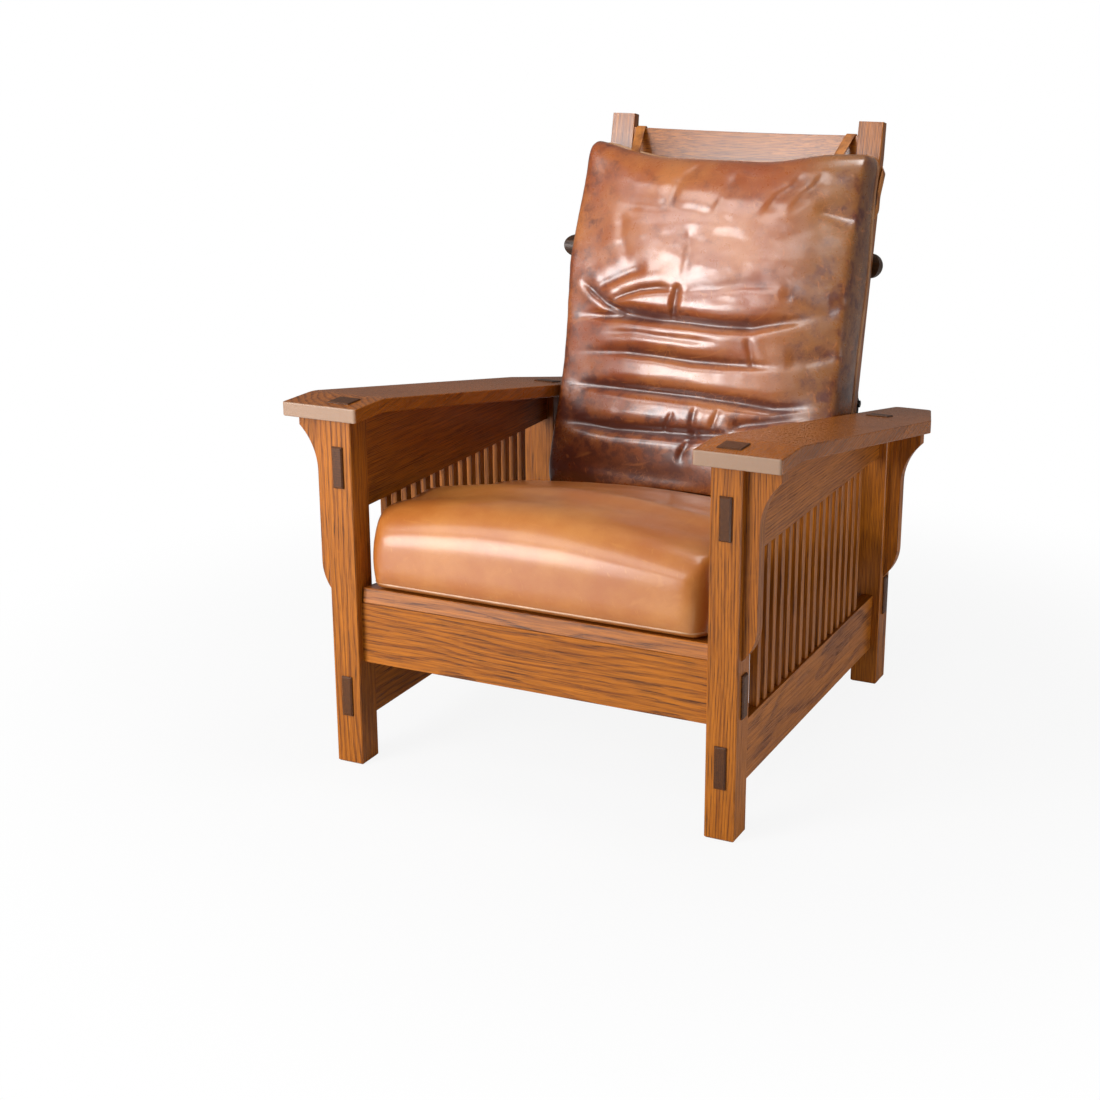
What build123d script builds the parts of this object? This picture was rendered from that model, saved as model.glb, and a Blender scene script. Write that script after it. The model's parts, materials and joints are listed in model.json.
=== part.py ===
from build123d import *
from math import asin, atan2, cos, degrees, hypot, radians, sin, tan
import os

# An oak armchair with a back that reclines. Millimetres, +Z up, +X to the viewer's right.
# The chair faces -Y. The origin is on the floor, midway between the arms' front and rear ends.

# Sizes of the legs and the stance
leg_side = 49.0
leg_span = 659.0
leg_spacing = 714.5
front_leg_height = 590.5
foot_bevel = 3.0
arris = 1.4

# Sizes of the arms
arm_overhang = 18.0
arm_tail = 241.5
arm_width = 136.5
arm_thickness = 23.0
arm_inside_leg = 47.0
arm_flat = 88.0
arm_slope = 9.7
arm_bend_radius = 150.0
arm_taper_behind_leg = 16.0
arm_end_width = 68.0
arm_rear_round = 14.0
arm_front_round = 5.0
arm_edge_round = 2.0
arm_tenon_side = 38.0
arm_tenon_proud = 2.5
arm_tenon_bevel = 1.2

# Sizes of the rails and their tenons
rail_thickness = 21.0
rail_tenon_thickness = 19.0
rail_tenon_proud = 4.5
rail_tenon_bevel = 2.2
rail_stub = 13.0
rail_shoulder = 16.0
lower_rail_base = 70.0
lower_rail_height = 101.0
upper_rail_rear_depth = 48.0
upper_tenon_shoulder = 45.0
upper_tenon_height = 68.0
upper_stub_shoulder = 8.0
front_rail_base = 181.0
front_rail_height = 102.0
rear_rail_base = 117.0
rear_rail_height = 102.0

# Sizes of the spindles
spindle_count = 16
spindle_side = 13.5
spindle_pitch = 32.4
spindle_tenon_side = 9.5
spindle_tenon_length = 8.0
spindle_arris = 0.8

# Sizes of the corbels
corbel_thickness = 22.0
corbel_head = 55.0
corbel_waist = 23.0
corbel_lip = 20.0
corbel_cove = 74.0
corbel_toe = 55.0
front_corbel_foot_gap = 23.5
rear_corbel_foot_gap = 2.8

# Sizes of the seat frame and what carries it
seat_slope = 6.3
seat_board_thickness = 26.0
seat_board_width = 70.0
seat_side_clearance = 3.0
seat_rear_clearance = 6.5
seat_slat_count = 7
seat_slat_width = 56.0
seat_slat_thickness = 12.0
seat_slat_bearing = 15.0
cleat_depth = 24.0
cleat_height = 34.0
cleat_end_clearance = 24.0

# Sizes of the back frame
back_lean = 12.5
back_range = 20.0
stile_width = 46.0
stile_thickness = 25.0
back_side_clearance = 40.0
stile_length = 787.0
stile_crest_length = 60.0
stile_crest_thickness = 19.0
back_slat_count = 5
back_slat_height = 58.0
back_slat_thickness = 10.0
back_slat_below_top = 25.0
back_slat_bow = 17.0
back_slat_setback = 2.0
back_tenon_length = 14.0
back_tenon_thickness = 6.0
back_tenon_shoulder = 8.0
back_rail_height = 75.0
back_foot_gap = 1.0

# Sizes of the hinges between the back frame and the rear rail
hinge_length = 76.0
hinge_from_stile = 69.0
hinge_leaf_thickness = 2.0
hinge_leaf_depth = 19.0
hinge_barrel_radius = 4.5
hinge_pin_radius = 2.0
hinge_knuckle_count = 5
hinge_knuckle_gap = 0.3
hinge_standoff = 4.9
hinge_pin_head_radius = 3.2
hinge_pin_head_length = 1.5
screw_radius = 1.6
screw_head_radius = 3.2
screw_head_depth = 1.6
screw_length = 14.0
screws_per_leaf = 3

# Sizes of the bar that sets the recline, and of its racks
bar_beyond_stile = 53.0
bar_radius = 22.5
bar_flat = 1.5
bar_below_top = 251.0
bar_shift = -44.0
bar_rack_margin = 4.0
rack_thickness = 12.0
rack_width = 28.0
rack_inset = 3.0
rack_end = 26.0
rack_steps = 4
scallop_radius = 23.5
scallop_depth = 2.2
crest_gap = 0.35

# Sizes of the prop that carries the bar
prop_from_stile = 3.0
prop_thickness = 20.0
prop_width = 34.0
prop_pivot_from_rear = 45.0
prop_pivot_height = 24.0
prop_axis_behind_keeper = 12.0
keeper_thickness = 2.0
keeper_gap = 0.35
rear_board_width = 62.0
rear_board_thickness = 22.0
rear_board_bearing = 29.5
bracket_thickness = 3.0
bracket_ear_radius = 11.0
bracket_foot = 20.0
bracket_gap = 0.5
bolt_radius = 4.0
bolt_head_radius = 7.5
bolt_head_length = 5.0
board_screw_radius = 2.5
board_screw_head_radius = 5.0
board_screw_head_depth = 3.0
board_screw_depth_in_arm = 15.0

# Sizes of the cushions and straps
seat_cushion_side_gap = 5.0
seat_cushion_overhang = 16.0
seat_cushion_rear_clearance = 8.0
seat_cushion_height = 168.0
seat_cushion_draw = 9.0
back_cushion_over_stile = 10.0
back_cushion_depth = 150.0
back_cushion_seat_share = 0.6
back_cushion_settle = 0.8
back_cushion_below_top = 66.0
back_cushion_draw = 8.0
soft_gap = 0.3
strap_width = 20.0
strap_thickness = 2.5
strap_fold = 3.2
top_strap_from_stile = 29.0
top_strap_drop = 44.0

# Clearances and overruns
running_clearance = 0.05
overrun = 40.0


def block(x_low, x_high, y_low, y_high, z_low, z_high):
    """A box between two corners."""
    centre = Pos((x_low + x_high) / 2, (y_low + y_high) / 2, (z_low + z_high) / 2)
    return centre * Box(x_high - x_low, y_high - y_low, z_high - z_low)


def rod(radius, x_low, x_high):
    """A round rod along X, on the X axis."""
    turned = Rot(0, 90, 0) * Cylinder(radius, x_high - x_low)
    return Pos((x_low + x_high) / 2, 0, 0) * turned


def plate(edges, x_low, x_high):
    """A plate across X whose outline lies in Y and Z."""
    return extrude(Plane.YZ.offset(x_low) * make_face(edges), x_high - x_low)


def mirrored(shape):
    """The same piece on the other side of the chair."""
    return mirror(shape, about=Plane.YZ)


def bevelled_end(shape, axis, end, bevel):
    """A piece with the edges of its outermost face along an axis taken off."""
    return chamfer(shape.faces().sort_by(axis)[end].edges(), bevel)


# Places that follow from the sizes
arm_length = arm_overhang + leg_side + leg_spacing + arm_tail
arm_front_y = -arm_length / 2
arm_rear_y = arm_length / 2
arm_top_z = front_leg_height + arm_thickness
arm_bend_y = arm_front_y + arm_flat
leg_x = leg_span / 2
arm_in = leg_x - arm_inside_leg
arm_out = arm_in + arm_width
leg_in = leg_x - leg_side / 2
leg_out = leg_x + leg_side / 2
front_leg_y = arm_front_y + arm_overhang + leg_side / 2
rear_leg_y = front_leg_y + leg_spacing
front_leg_back = front_leg_y + leg_side / 2
rear_leg_front = rear_leg_y - leg_side / 2


# The arm's side outline: level, bent, then straight down to the rear
def arm_line(offset):
    """A line parallel to the arm's top, from its front end to its rear end."""
    bend_y = arm_bend_y + offset * tan(radians(arm_slope) / 2)
    level_z = arm_top_z + offset
    rear_z = level_z - (arm_rear_y - bend_y) * tan(radians(arm_slope))
    corners = [(arm_front_y, level_z), (bend_y, level_z), (arm_rear_y, rear_z)]
    return FilletPolyline(*corners, radius=arm_bend_radius + arm_thickness + offset)


def above_arm_line(offset):
    """All the space above a line parallel to the arm's top."""
    line = arm_line(offset)
    roof_z = arm_top_z + arm_thickness + overrun
    rise = Polyline(line @ 1, (arm_rear_y, roof_z), (arm_front_y, roof_z), line @ 0)
    return plate(Curve() + [line, rise], -arm_out - overrun, arm_out + overrun)


def arm_height(y, offset):
    """The height of a line parallel to the arm's top, behind the bend."""
    bend_y = arm_bend_y + offset * tan(radians(arm_slope) / 2)
    return arm_top_z + offset - (y - bend_y) * tan(radians(arm_slope))


upper_rail_rear_top = arm_height(rear_leg_front, -arm_thickness)
upper_rail_base = upper_rail_rear_top - upper_rail_rear_depth
above_underside = above_arm_line(-arm_thickness)
above_tenons = above_arm_line(arm_tenon_proud)


# Rails
def rail_across(base, height, y, bar_of_leg=leg_out):
    """A rail between left and right legs, its tenons through both legs."""
    half = rail_thickness / 2
    body = block(-leg_in, leg_in, y - half, y + half, base, base + height)
    reach = bar_of_leg + rail_tenon_proud
    half_tenon = rail_tenon_thickness / 2
    low = base + rail_shoulder
    high = base + height - rail_shoulder
    tenon = block(-reach, reach, y - half_tenon, y + half_tenon, low, high)
    tenon = bevelled_end(tenon, Axis.X, 0, rail_tenon_bevel)
    tenon = bevelled_end(tenon, Axis.X, -1, rail_tenon_bevel)
    return body + tenon


def side_rail(base, top, tenon_low, tenon_high, stub_low, stub_high):
    """A right-hand side rail: a tenon through the front leg, a stub in the rear leg."""
    half = rail_thickness / 2
    body = block(leg_x - half, leg_x + half, front_leg_back, rear_leg_front, base, top)
    half_tenon = rail_tenon_thickness / 2
    front_end = front_leg_y - leg_side / 2 - rail_tenon_proud
    tenon = block(leg_x - half_tenon, leg_x + half_tenon, front_end, front_leg_back, tenon_low, tenon_high)
    tenon = bevelled_end(tenon, Axis.Y, 0, rail_tenon_bevel)
    stub_end = rear_leg_front + rail_stub
    stub = block(leg_x - half_tenon, leg_x + half_tenon, rear_leg_front, stub_end, stub_low, stub_high)
    return body - above_underside + tenon + stub


front_rail = rail_across(front_rail_base, front_rail_height, front_leg_y)
rear_rail = rail_across(rear_rail_base, rear_rail_height, rear_leg_y)
lower_rail_top = lower_rail_base + lower_rail_height
lower_tenon_low = lower_rail_base + rail_shoulder
lower_tenon_high = lower_rail_top - rail_shoulder
lower_side_rail = side_rail(
    lower_rail_base, lower_rail_top, lower_tenon_low, lower_tenon_high, lower_tenon_low, lower_tenon_high
)
upper_tenon_low = upper_rail_base + upper_tenon_shoulder
upper_side_rail = side_rail(
    upper_rail_base,
    arm_top_z,
    upper_tenon_low,
    upper_tenon_low + upper_tenon_height,
    upper_rail_base + upper_stub_shoulder,
    upper_rail_rear_top - upper_stub_shoulder - upper_stub_shoulder,
)


# Spindles, evenly spaced and centred between the legs
def spindle(y):
    """A square spindle with a stub tenon in each side rail."""
    half = spindle_side / 2
    stick = block(leg_x - half, leg_x + half, y - half, y + half, lower_rail_top, upper_rail_base)
    stick = chamfer(stick.edges().filter_by(Axis.Z), spindle_arris)
    half_tenon = spindle_tenon_side / 2
    low = lower_rail_top - spindle_tenon_length
    high = upper_rail_base + spindle_tenon_length
    return stick + block(leg_x - half_tenon, leg_x + half_tenon, y - half_tenon, y + half_tenon, low, high)


spindle_middle_y = (front_leg_back + rear_leg_front) / 2
spindle_first_y = spindle_middle_y - spindle_pitch * (spindle_count - 1) / 2
spindles = [spindle(spindle_first_y + spindle_pitch * index) for index in range(spindle_count)]
lower_side_rail -= spindles
upper_side_rail -= spindles


# Legs, with a tenon through the arm and mortises for the rails
def leg(y, rails):
    """A right-hand leg, cut to the arm's underside, its tenon just proud of the arm."""
    half = leg_side / 2
    post = block(leg_x - half, leg_x + half, y - half, y + half, 0, arm_top_z)
    post = bevelled_end(post, Axis.Z, 0, foot_bevel)
    post = chamfer(post.edges().filter_by(Axis.Z), arris) - above_underside
    half_tenon = arm_tenon_side / 2
    roof = arm_top_z + overrun
    tenon = block(leg_x - half_tenon, leg_x + half_tenon, y - half_tenon, y + half_tenon, foot_bevel, roof)
    tenon = bevelled_end(tenon - above_tenons, Axis.Z, -1, arm_tenon_bevel)
    return post + tenon - rails


front_leg = leg(front_leg_y, [front_rail, lower_side_rail, upper_side_rail])
rear_leg = leg(rear_leg_y, [rear_rail, lower_side_rail, upper_side_rail])


# Arms
def arm():
    """The right arm: bent from the side, tapered behind the rear leg."""
    top = arm_line(0)
    under = arm_line(-arm_thickness)
    outline = Curve() + [top, Line(top @ 1, under @ 1), under, Line(under @ 0, top @ 0)]
    bent = plate(outline, arm_in, arm_out)
    taper_y = rear_leg_y + arm_taper_behind_leg
    end_x = arm_in + arm_end_width
    corners = [(arm_in, arm_front_y), (arm_out, arm_front_y), (arm_out, taper_y), (end_x, arm_rear_y)]
    plan = make_face(Polyline(*corners, (arm_in, arm_rear_y), close=True))
    plan = fillet(plan.vertices().group_by(Axis.Y)[0], arm_front_round)
    plan = fillet(plan.vertices().group_by(Axis.Y)[-1], arm_rear_round)
    board = bent & extrude(plan, arm_top_z + overrun)
    rims = board.faces().filter_by(lambda face: abs(face.normal_at().Z) > cos(radians(2 * arm_slope)))
    rim_edges = [edge for edge in rims.edges() if edge.length > 0 and not is_cross_edge(edge)]
    board = fillet(rim_edges, arm_edge_round)
    return board - front_leg - rear_leg


def is_cross_edge(edge):
    """Whether an edge only divides the arm's broad face where the bend starts or ends."""
    across = abs(edge.tangent_at(0).X) > 0.5
    middle_y = edge.center().Y
    return across and arm_front_y + arm_front_round < middle_y < arm_rear_y - arm_rear_round


arm_right = arm()


# Corbels under the arms, on the legs' outer faces
def corbel(y, top_z, length):
    """A right-hand corbel: a lip, a cove, a straight waist and a rounded toe."""
    head_x = leg_out + corbel_head
    waist_x = leg_out + corbel_waist
    cove_z = top_z - corbel_lip - corbel_cove
    toe_z = top_z - length + corbel_toe
    roof_z = top_z + corbel_lip
    cove = TangentArc((waist_x, cove_z), (head_x, top_z - corbel_lip), tangent=(0, 1))
    toe = TangentArc((waist_x, toe_z), (leg_out, top_z - length), tangent=(0, -1))
    rim = Polyline((head_x, top_z - corbel_lip), (head_x, roof_z), (leg_out, roof_z), (leg_out, top_z - length))
    outline = Curve() + [cove, rim, toe, Line((waist_x, toe_z), (waist_x, cove_z))]
    face = Plane.XZ.offset(-y) * make_face(outline)
    solid = extrude(face, corbel_thickness / 2, both=True)
    return solid - above_underside


front_corbel_foot = front_rail_base + front_rail_height - rail_shoulder + front_corbel_foot_gap
front_corbel = corbel(front_leg_y, front_leg_height, front_leg_height - front_corbel_foot)
rear_corbel_top = arm_height(rear_leg_y, -arm_thickness)
rear_corbel_foot = rear_rail_base + rear_rail_height - rail_shoulder + rear_corbel_foot_gap
rear_corbel = corbel(rear_leg_y, rear_corbel_top, rear_corbel_top - rear_corbel_foot)

# Seat frame, sloping down to the rear, flush with the front rail's face
rail_half = rail_thickness / 2
seat_front_y = front_leg_y - rail_half
seat_base_z = front_rail_base + front_rail_height
seat_place = Pos(0, seat_front_y, seat_base_z) * Rot(-seat_slope, 0, 0)
seat_level_length = rear_leg_y - rail_half - seat_rear_clearance - seat_front_y
seat_length = seat_level_length / cos(radians(seat_slope))
seat_half = leg_in - seat_side_clearance
seat_rear_board_y = seat_length - seat_board_width
above_seat_base = seat_place * block(
    -leg_in, leg_in, -overrun, seat_length + overrun, 0, front_rail_height + overrun
)
front_rail -= above_seat_base


def seat_block(x_low, x_high, y_low, y_high, z_low, z_high):
    """A box laid on the seat's slope."""
    return seat_place * block(x_low, x_high, y_low, y_high, z_low, z_high)


def seat_board(x_low, x_high, y_low, y_high):
    """A board of the seat frame with its long edges eased."""
    board = block(x_low, x_high, y_low, y_high, 0, seat_board_thickness)
    along = Axis.X if x_high - x_low > y_high - y_low else Axis.Y
    return seat_place * chamfer(board.edges().filter_by(along), arris)


seat_slat_half = seat_half - seat_board_width + seat_slat_bearing
seat_slat_base = seat_board_thickness - seat_slat_thickness
seat_slat_room = seat_rear_board_y - seat_board_width
seat_slat_gap = (seat_slat_room - seat_slat_count * seat_slat_width) / (seat_slat_count + 1)
seat_slats = []
for index in range(seat_slat_count):
    slat_y = seat_board_width + seat_slat_gap + index * (seat_slat_width + seat_slat_gap)
    seat_slats.append(seat_block(
        -seat_slat_half, seat_slat_half, slat_y, slat_y + seat_slat_width, seat_slat_base, seat_board_thickness
    ))

seat_frame_front = seat_board(-seat_half, seat_half, 0, seat_board_width)
seat_frame_rear = seat_board(-seat_half, seat_half, seat_rear_board_y, seat_length)
seat_frame_right = seat_board(seat_half - seat_board_width, seat_half, seat_board_width, seat_rear_board_y)
seat_frame_left = mirrored(seat_frame_right) - seat_slats
seat_frame_right -= seat_slats

# Cleats on the rails' inner faces, under the seat frame
cleat_half = leg_in - cleat_end_clearance
front_cleat_y = front_leg_y + rail_half
rear_cleat_y = rear_leg_y - rail_half


def cleat(y_low, y_high):
    """A cleat whose top follows the seat's slope."""
    middle_y = (y_low + y_high) / 2
    top_z = seat_base_z - (middle_y - seat_front_y) * tan(radians(seat_slope))
    bar = block(-cleat_half, cleat_half, y_low, y_high, top_z - cleat_height, top_z + cleat_height)
    return bar - above_seat_base


seat_cleat_front = cleat(front_cleat_y, front_cleat_y + cleat_depth)
seat_cleat_rear = cleat(rear_cleat_y - cleat_depth, rear_cleat_y)

# Back frame. Its own axes start at the hinge: Y to the rear, Z up along the stiles
rear_rail_top = rear_rail_base + rear_rail_height
hinge_z = rear_rail_top + back_foot_gap / 2
hinge_y = rear_leg_y + rail_half + hinge_barrel_radius + hinge_standoff / 2
back_place = Pos(0, hinge_y, hinge_z) * Rot(-back_lean, 0, 0)
stile_rear = -hinge_standoff
stile_front = stile_rear - stile_thickness
stile_out = leg_in - back_side_clearance
stile_in = stile_out - stile_width
hinge_x = stile_in - hinge_from_stile
below_back = block(
    -arm_out, arm_out, hinge_y - stile_length, hinge_y + stile_length,
    hinge_z - stile_length, rear_rail_top + back_foot_gap
)


def back_block(x_low, x_high, y_low, y_high, z_low, z_high):
    """A box in the back frame's own axes."""
    return back_place * block(x_low, x_high, y_low, y_high, z_low, z_high)


def back_slat(top):
    """A slat bowed to the rear between the stiles, with a stub tenon at each end."""
    front = stile_front + back_slat_setback
    rear = front + back_slat_thickness
    faces = [ThreePointArc((-stile_in, y), (0, y + back_slat_bow), (stile_in, y)) for y in (front, rear)]
    ends = [Line((x, front), (x, rear)) for x in (-stile_in, stile_in)]
    low = top - back_slat_height
    board = Pos(0, 0, low) * extrude(make_face(Curve() + faces + ends), back_slat_height)
    board = chamfer(board.edges().filter_by(GeomType.CIRCLE), arris / 2)
    middle = (front + rear) / 2
    half = back_tenon_thickness / 2
    for side in (-1, 1):
        ends_x = sorted((side * (stile_in - back_tenon_thickness), side * (stile_in + back_tenon_length)))
        tenon_low = low + back_tenon_shoulder
        tenon_high = top - back_tenon_shoulder
        board += block(*ends_x, middle - half, middle + half, tenon_low, tenon_high)
    return back_place * board


top_slat_top = stile_length - back_slat_below_top
back_slat_pitch = (top_slat_top - back_rail_height) / back_slat_count
back_slat_tops = [top_slat_top - back_slat_pitch * row for row in range(back_slat_count)]
back_slats = [back_slat(top) for top in back_slat_tops]

tenon_middle = (stile_front + stile_rear) / 2
tenon_half = back_tenon_thickness / 2
tenon_reach = stile_in + back_tenon_length
back_rail_base = -stile_thickness * tan(radians(back_lean)) / 2
back_bottom_rail = back_block(-stile_in, stile_in, stile_front, stile_rear, back_rail_base - overrun, back_rail_height)
back_bottom_rail += back_block(
    -tenon_reach, tenon_reach, tenon_middle - tenon_half, tenon_middle + tenon_half,
    back_tenon_shoulder * 2, back_rail_height - back_tenon_shoulder
)
back_bottom_rail -= below_back


def stile():
    """The right stile: thinned on the rear at its top, its foot cut level over the rear rail."""
    crest_rear = stile_front + stile_crest_thickness
    corners = [(stile_front, -overrun), (stile_rear, -overrun), (stile_rear, stile_length - stile_crest_length)]
    corners += [(crest_rear, stile_length), (stile_front, stile_length)]
    post = plate(Polyline(*corners, close=True), stile_in, stile_out)
    post = chamfer(post.edges().filter_by(Axis.Z), arris)
    return back_place * post - below_back - back_slats - back_bottom_rail


back_stile_right = stile()

# Hinges: a leaf on the rear rail, a leaf under the back frame, a pin on the hinge axis
hinge_place = Pos(0, hinge_y, hinge_z)
leaf_front = -(hinge_barrel_radius + hinge_leaf_depth)
leaf_bore = hinge_pin_radius + running_clearance
knuckle_length = hinge_length / hinge_knuckle_count
half_gap = back_foot_gap / 2


def screw(radius, head_radius, head_depth, length):
    """A countersunk screw along -Z, its head flush with the plane of X and Y."""
    shank = Pos(0, 0, -length / 2) * Cylinder(radius, length)
    return shank + Pos(0, 0, -head_depth / 2) * Cone(radius, head_radius, head_depth)


def screw_hole(radius, head_radius, head_depth, length):
    """The hole that such a screw sits in."""
    slack = running_clearance
    return screw(radius + slack, head_radius + slack, head_depth, length + slack)


def hinge_leaf(first_knuckle, side):
    """A leaf with every second knuckle. It lies below the axis on side -1 and above it on side 1."""
    half = hinge_length / 2
    heights = sorted((side * half_gap, side * (half_gap + hinge_leaf_thickness)))
    clear = -(hinge_barrel_radius + hinge_knuckle_gap)
    leaf = block(-half, half, leaf_front, clear, *heights)
    for index in range(first_knuckle, hinge_knuckle_count, 2):
        low = -half + index * knuckle_length + hinge_knuckle_gap / 2
        high = low + knuckle_length - hinge_knuckle_gap
        leaf += block(low, high, clear - hinge_leaf_thickness, 0, *heights)
        leaf += rod(hinge_barrel_radius, low, high)
    return leaf - rod(leaf_bore, -hinge_length, hinge_length)


def leaf_screws(make, side):
    """Screws or their holes in one leaf, driven away from the other leaf."""
    spots = []
    for index in range(screws_per_leaf):
        x = hinge_length * ((index + 0.5) / screws_per_leaf - 0.5)
        turned = Rot(0 if side < 0 else 180, 0, 0)
        y = leaf_front + hinge_leaf_depth / 2
        shape = make(screw_radius, screw_head_radius, screw_head_depth, screw_length)
        spots.append(Pos(x, y, side * half_gap) * turned * shape)
    return spots


def both_hinges(shapes):
    """Copies of one hinge's pieces at the left and right hinge."""
    return [Pos(side * hinge_x, 0, 0) * hinge_place * shape for side in (-1, 1) for shape in shapes]


rail_holes = leaf_screws(screw_hole, -1)
back_holes = leaf_screws(screw_hole, 1)
hinge_rail_leaves = both_hinges([hinge_leaf(0, -1) - rail_holes])
hinge_back_leaves = both_hinges([hinge_leaf(1, 1) - back_holes])
hinge_rail_screws = both_hinges(leaf_screws(screw, -1))
hinge_back_screws = both_hinges(leaf_screws(screw, 1))
pin_half = hinge_length / 2
pin = rod(hinge_pin_radius, -pin_half, pin_half + hinge_pin_head_length)
pin += rod(hinge_pin_head_radius, pin_half, pin_half + hinge_pin_head_length)
hinge_pins = both_hinges([pin])
leaf_recess = block(-pin_half, pin_half, leaf_front, 0, -half_gap - hinge_leaf_thickness, half_gap + hinge_leaf_thickness)
rear_rail -= both_hinges([leaf_recess] + rail_holes)
back_bottom_rail -= both_hinges([leaf_recess] + back_holes)

# The bar, its place on the back and the prop's pivot
bar_height = stile_length - bar_below_top
crest_y = stile_rear + rack_thickness
bar_offset = crest_y + bar_radius + crest_gap


def on_back(offset, height, recline):
    """A point given in the back frame's axes, as Y and Z of the chair, at an angle of recline."""
    lean = radians(back_lean + recline)
    y = hinge_y + offset * cos(lean) + height * sin(lean)
    z = hinge_z - offset * sin(lean) + height * cos(lean)
    return y, z


bar_y, bar_z = on_back(bar_offset, bar_height, 0)
pivot_y = arm_rear_y - prop_pivot_from_rear
pivot_z = arm_height(pivot_y, -arm_thickness) + prop_pivot_height / cos(radians(arm_slope))
prop_radius = hypot(bar_y - pivot_y, bar_z - pivot_z)
prop_rest = degrees(atan2(bar_y - pivot_y, bar_z - pivot_z))


def prop_turn(recline):
    """How far the prop turns for the bar to keep its distance from the racks."""
    lean = radians(back_lean + recline)
    pivot_offset = (pivot_y - hinge_y) * cos(lean) - (pivot_z - hinge_z) * sin(lean)
    return back_lean + recline + degrees(asin((bar_offset - pivot_offset) / prop_radius)) - prop_rest


def bar_on_back(recline, turn):
    """Where the bar's centre is, in the back frame's axes, with the back and the prop turned."""
    lean = radians(back_lean + recline)
    angle = radians(prop_rest + turn)
    dy = pivot_y + prop_radius * sin(angle) - hinge_y
    dz = pivot_z + prop_radius * cos(angle) - hinge_z
    return dy * cos(lean) - dz * sin(lean), dy * sin(lean) + dz * cos(lean)


prop_ratio = prop_turn(back_range) / back_range
step_angles = [back_range * step / (rack_steps - 1) for step in range(rack_steps)]
scallop_heights = [bar_on_back(angle, prop_ratio * angle)[1] for angle in step_angles]
rack_low = min(scallop_heights) - rack_end
rack_high = max(scallop_heights) + rack_end
rack_x = stile_in + rack_inset
scallops = []
for height in scallop_heights:
    scallop = rod(scallop_radius, rack_x - overrun, rack_x + rack_width + overrun)
    scallops.append(Pos(0, crest_y + scallop_radius - scallop_depth, height) * scallop)
rack = block(rack_x, rack_x + rack_width, stile_rear, crest_y, rack_low, rack_high)
back_rack_right = back_place * (rack - scallops)

bar_place = Pos(0, bar_y, bar_z) * Rot(-back_lean, 0, 0)


def d_section(radius, flat):
    """A half round towards the back frame, with a flat rear."""
    nose = ThreePointArc((0, radius), (-radius, 0), (0, -radius))
    return Curve() + [nose, Polyline((0, -radius), (flat, -radius), (flat, radius), (0, radius))]


bar_half = stile_out + bar_beyond_stile
bar_stick = plate(d_section(bar_radius, bar_flat), -bar_half, bar_half)
bar_outline = Plane.XZ.offset(-bar_radius) * SlotOverall(2 * bar_half, 2 * bar_radius)
bar_stick &= extrude(bar_outline, 2 * bar_radius)
adjusting_bar = bar_place * Pos(bar_shift, 0, 0) * bar_stick

# Keepers round the bar, on the prop arms
prop_out = stile_in - prop_from_stile
prop_in = prop_out - prop_thickness
keeper_hole_radius = bar_radius + keeper_gap
keeper_hole_flat = bar_flat + keeper_gap
keeper_radius = keeper_hole_radius + keeper_thickness
keeper_flat = keeper_hole_flat + keeper_thickness
keeper = plate(d_section(keeper_radius, keeper_flat), prop_in, prop_out)
keeper -= plate(d_section(keeper_hole_radius, keeper_hole_flat), prop_in - overrun, prop_out + overrun)
keeper_right = bar_place * keeper

# Prop arms, from the pivot to the keepers
prop_top_y = bar_y + (keeper_flat + prop_axis_behind_keeper) * cos(radians(back_lean))
prop_top_z = bar_z - (keeper_flat + prop_axis_behind_keeper) * sin(radians(back_lean))
prop_angle = degrees(atan2(prop_top_y - pivot_y, prop_top_z - pivot_z))
prop_length = hypot(prop_top_y - pivot_y, prop_top_z - pivot_z)
prop_place = Pos(0, pivot_y, pivot_z) * Rot(-prop_angle, 0, 0)
pivot_place = Pos(0, pivot_y, pivot_z)
prop_half = prop_width / 2
prop_arm = block(prop_in, prop_out, -prop_half, prop_half, 0, prop_length + overrun)
prop_arm += rod(prop_half, prop_in, prop_out)
prop_arm -= rod(bolt_radius + running_clearance, prop_in - overrun, prop_out + overrun)
before_keeper = block(0, arm_in, -prop_length, keeper_flat, -prop_length, prop_length)
over_keeper = block(0, arm_in, -prop_length, prop_length, keeper_radius, prop_length)
prop_arm_right = prop_place * prop_arm - bar_place * before_keeper - bar_place * over_keeper

# The board under the arms' rear ends and the brackets on it, parallel to the arms
board_place = pivot_place * Rot(-arm_slope, 0, 0)
board_half_width = rear_board_width / 2
board_half_length = arm_in + rear_board_bearing
board_top = -prop_pivot_height
board_base = board_top - rear_board_thickness
rear_board = block(-board_half_length, board_half_length, -board_half_width, board_half_width, board_base, board_top)
rear_arm_rail = chamfer(rear_board.edges().filter_by(Axis.X), arris)

bracket_in = prop_in - bracket_gap - bracket_thickness
bracket_out = prop_out + bracket_gap + bracket_thickness


def bracket_ear(x_low):
    """An ear of a bracket, round over the pivot."""
    ear = block(x_low, x_low + bracket_thickness, -bracket_ear_radius, bracket_ear_radius, board_top, 0)
    return ear + rod(bracket_ear_radius, x_low, x_low + bracket_thickness)


bracket_foot_top = board_top + bracket_thickness
bracket = block(
    bracket_in - bracket_foot, bracket_out + bracket_foot, -bracket_ear_radius, bracket_ear_radius,
    board_top, bracket_foot_top
)
bracket += bracket_ear(bracket_in)
bracket += bracket_ear(bracket_out - bracket_thickness)
bracket -= rod(bolt_radius + running_clearance, 0, arm_in)
foot_screw_depth = rear_board_thickness - bracket_thickness
foot_screws = []
foot_holes = []
for x in (bracket_in - bracket_foot / 2, bracket_out + bracket_foot / 2):
    spot = Pos(x, 0, bracket_foot_top)
    foot_screws.append(spot * screw(screw_radius, screw_head_radius, screw_head_depth, foot_screw_depth))
    foot_holes.append(spot * screw_hole(screw_radius, screw_head_radius, screw_head_depth, foot_screw_depth))
bracket -= foot_holes

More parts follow.
